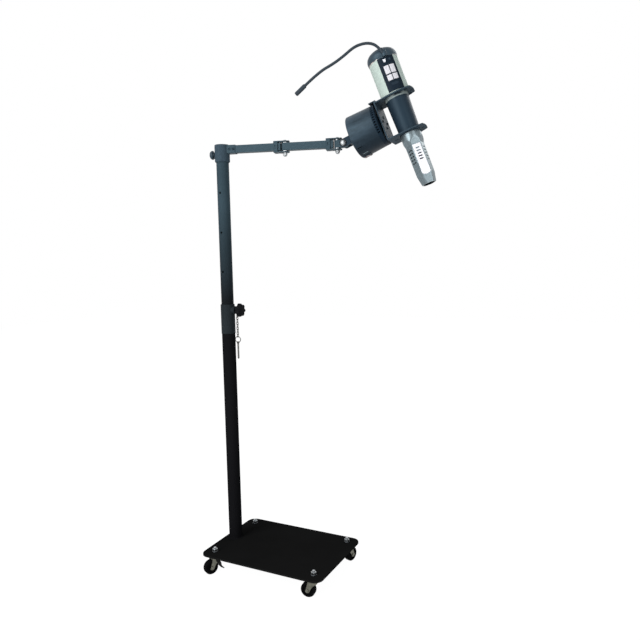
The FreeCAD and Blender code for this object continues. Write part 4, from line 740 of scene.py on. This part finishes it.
CHAIN = moved(-126.3, 0, 0)
EYE_DROP = 0.9
EYE_RADIUS = 6.15
WIRE_SIDES = 10
CIRCLE_STEPS = 40
LINK_END_STEPS = 8
LINK_WIRE = 1.05
LINK_WIDTH = 7.2
LINK_LENGTH = 11.4
LINK_COUNT = 10
LINK_PLAY = 0.12
LINK_INSIDE = LINK_LENGTH / 2 - 2 * LINK_WIRE
LINK_PITCH = 2 * LINK_INSIDE - LINK_PLAY
LINK_FIRST = CLAMP_HEIGHT - EYE_DROP - EYE_RADIUS + LINK_WIRE + LINK_PLAY - LINK_INSIDE
LINK_LAST = LINK_FIRST - LINK_PITCH * (LINK_COUNT - 1)
RING_RADIUS = 8.585
RING_WIRE = 1.15
RING_LEVEL = LINK_LAST - LINK_INSIDE + LINK_PLAY + RING_WIRE - RING_RADIUS


def wire_loop(place, path, wire):
    """Points and faces of a round wire bent into a flat closed loop in its frame's XZ plane."""
    points = []
    for index, (x, z) in enumerate(path):
        before = Vector(path[index - 1])
        after = Vector(path[(index + 1) % len(path)])
        along = (after - before).normalized()
        for angle in round_angles(WIRE_SIDES):
            out = wire * math.cos(angle)
            points.append((x + out * along.y, wire * math.sin(angle), z - out * along.x))
    return placed(place, points), row_faces(len(path), WIRE_SIDES, closed=True)


def wire_piece(name, loops, body, node):
    """One piece made of wire loops, in place of a node."""
    made = new_piece(name, *joined([wire_loop(*loop) for loop in loops]))
    outward(made)
    smooth(made)
    made.data.materials.append(MATERIALS["bright"])
    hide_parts(node)
    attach(made, body)


def circle_path(radius, level):
    return [(radius * math.cos(angle), level + radius * math.sin(angle))
            for angle in round_angles(CIRCLE_STEPS)]


def link_path(level):
    """A loop of two half turns joined by two straight sides."""
    radius = LINK_WIDTH / 2 - LINK_WIRE
    half = LINK_LENGTH / 2 - LINK_WIRE - radius
    return [(radius * math.cos(angle), level + middle + radius * math.sin(angle))
            for middle, start in ((half, 0), (-half, 180)) for angle in half_turn(start, LINK_END_STEPS)]


def make_chain():
    crosswise = CHAIN @ turned(90, "Z")
    loops = [(crosswise, circle_path(EYE_RADIUS, CLAMP_HEIGHT - EYE_DROP), LINK_WIRE)]
    for number in range(LINK_COUNT):
        place = crosswise if number % 2 else CHAIN
        loops.append((place, link_path(LINK_FIRST - LINK_PITCH * number), LINK_WIRE))
    wire_piece("chain_links", loops, "chain", "pin_chain")
    ring = [(CHAIN, circle_path(RING_RADIUS, RING_LEVEL), RING_WIRE)]
    wire_piece("key_ring", ring, "chain", "split_ring")


make_chain()

# The clamp screw's knob, a star with seven round lobes. Its back and front are given as reaches
# along the screw with radii, and its edge as reaches with insets from the star

KNOB = moved(POST_X, 0, CLAMP_HEIGHT)
KNOB_POINTS = 168
KNOB_LOBES = 7
KNOB_TURN = math.radians(-6.6)
KNOB_VALLEY = 15.0
KNOB_RISE = 4.3
LOBE_FULLNESS = 0.8
KNOB_BACK = ((40, 4.02), (35.5, 4.02), (35.5, 8), (36.4, 8))
KNOB_EDGE = ((36.4, 1.4), (36.9, 0.4), (37.8, 0.0), (45.4, 0.0), (47.6, 0.6), (49.0, 1.9), (49.9, 3.8))
KNOB_FRONT = (50.5, 9.0)
KNOB_SHARP = 40


def lobe_radius(angle):
    wave = 0.5 + 0.5 * math.cos(KNOB_LOBES * (angle - KNOB_TURN))
    return KNOB_VALLEY + KNOB_RISE * wave ** LOBE_FULLNESS


def make_knob():
    angles = round_angles(KNOB_POINTS)
    rows = [(reach, [radius] * KNOB_POINTS) for reach, radius in KNOB_BACK]
    rows += [(reach, [lobe_radius(angle) - inset for angle in angles]) for reach, inset in KNOB_EDGE]
    front, crown = KNOB_FRONT
    rows.append((front, [crown] * KNOB_POINTS))
    points = [(reach, radius * math.cos(angle), radius * math.sin(angle))
              for reach, radii in rows for radius, angle in zip(radii, angles)]
    faces = end_faces(len(rows), KNOB_POINTS) + row_faces(len(rows), KNOB_POINTS)
    made = new_piece("star_knob", placed(KNOB, points), faces)
    outward(made)
    smooth(made, KNOB_SHARP)
    made.data.materials.append(MATERIALS["black_plastic"])
    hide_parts("height_knob")
    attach(made, "height_screw")


make_knob()

# The supply lead, a smooth line through the route that the frame's cord follows, in metres

CORD_DIAMETER = 0.0072
CORD_ROUTE = [
    (0.2984, 0.0752, 1.3896), (0.2840, 0.0678, 1.4090), (0.2690, 0.0601, 1.4168),
    (0.2522, 0.0516, 1.4170), (0.2304, 0.0404, 1.4088), (0.2087, 0.0293, 1.3887),
    (0.1842, 0.0168, 1.3691), (0.1490, -0.0012, 1.3481), (0.1126, -0.0198, 1.3106)]
CORD_STEPS = 12
CORD_ROUNDNESS = 5


def make_cord():
    curve = bpy.data.curves.new("supply_lead", "CURVE")
    curve.dimensions = "3D"
    spline = curve.splines.new("NURBS")
    spline.points.add(len(CORD_ROUTE) - 1)
    for point, place in zip(spline.points, CORD_ROUTE):
        point.co = (*place, 1)
    spline.order_u = 3
    spline.use_endpoint_u = True
    spline.resolution_u = CORD_STEPS
    curve.bevel_depth = CORD_DIAMETER / 2
    curve.bevel_resolution = CORD_ROUNDNESS
    curve.use_fill_caps = True
    curve.materials.append(MATERIALS["cord"])
    lead = bpy.data.objects.new("supply_lead", curve)
    scene.collection.objects.link(lead)
    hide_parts("cord")
    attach(lead, "dryer")


make_cord()

# Studio: pale floor, white surroundings, and three soft lamps. A lamp has a name, a place, a
# target and a size in metres, and a power in watts

WHITE = (1, 1, 1, 1)
FLOOR_SIZE = 14
FLOOR_COLOR = (0.90, 0.90, 0.90, 1)
FLOOR_GLOW = 1.1
FLOOR_GLOW_SHARE = 0.88
SKY_COLOR = (0.92, 0.96, 1, 1)
SKY_STRENGTH = 0.26
LAMPS = (
    ("key", (-0.79, -2.69, 2.0), (0.3, 0, 1.5), (1.8, 3.0), 96),
    ("fill", (2.5, -1.8, 1.5), (0.1, 0, 0.7), (1.2, 2.4), 30),
    ("rear", (0.8, 2.2, 2.6), (0, 0, 0.9), (2.0, 1.2), 20),
)


def make_floor():
    bpy.ops.mesh.primitive_plane_add(size=FLOOR_SIZE, location=(0, 0, 0))
    floor = bpy.context.object
    floor.name = "floor"
    tree = Tree("floor_pale")
    tree.set(color=tree.vary(FLOOR_COLOR, 0.01, tree.noise(3)), rough=0.7, specular=0.2)
    glow = tree.node("ShaderNodeEmission", {"Color": WHITE, "Strength": FLOOR_GLOW}).outputs[0]
    share = tree.math("MULTIPLY", tree.direct_rays(), FLOOR_GLOW_SHARE)
    tree.feed(tree.output.inputs[0], tree.blend(share, tree.shader.outputs[0], glow))
    floor.data.materials.append(tree.material)


def make_surroundings():
    """A white backdrop that lights the object only a little."""
    world = bpy.data.worlds.new("studio")
    scene.world = world
    world.use_nodes = True
    graph = Graph(world.node_tree)
    white = graph.node("ShaderNodeBackground", {0: WHITE}).outputs[0]
    dim = graph.node("ShaderNodeBackground", {0: SKY_COLOR, 1: SKY_STRENGTH}).outputs[0]
    graph.node("ShaderNodeOutputWorld", {0: graph.blend(graph.direct_rays(), dim, white)})


def make_lamp(name, place, target, size, power):
    data = bpy.data.lights.new(name, "AREA")
    data.shape = "RECTANGLE"
    data.size, data.size_y = size
    data.energy = power
    lamp = bpy.data.objects.new(name, data)
    scene.collection.objects.link(lamp)
    lamp.location = place
    lamp.rotation_euler = (Vector(target) - Vector(place)).to_track_quat("-Z", "Y").to_euler()


make_floor()
make_surroundings()
for lamp_settings in LAMPS:
    make_lamp(*lamp_settings)
scene.view_settings.view_transform = "Standard"
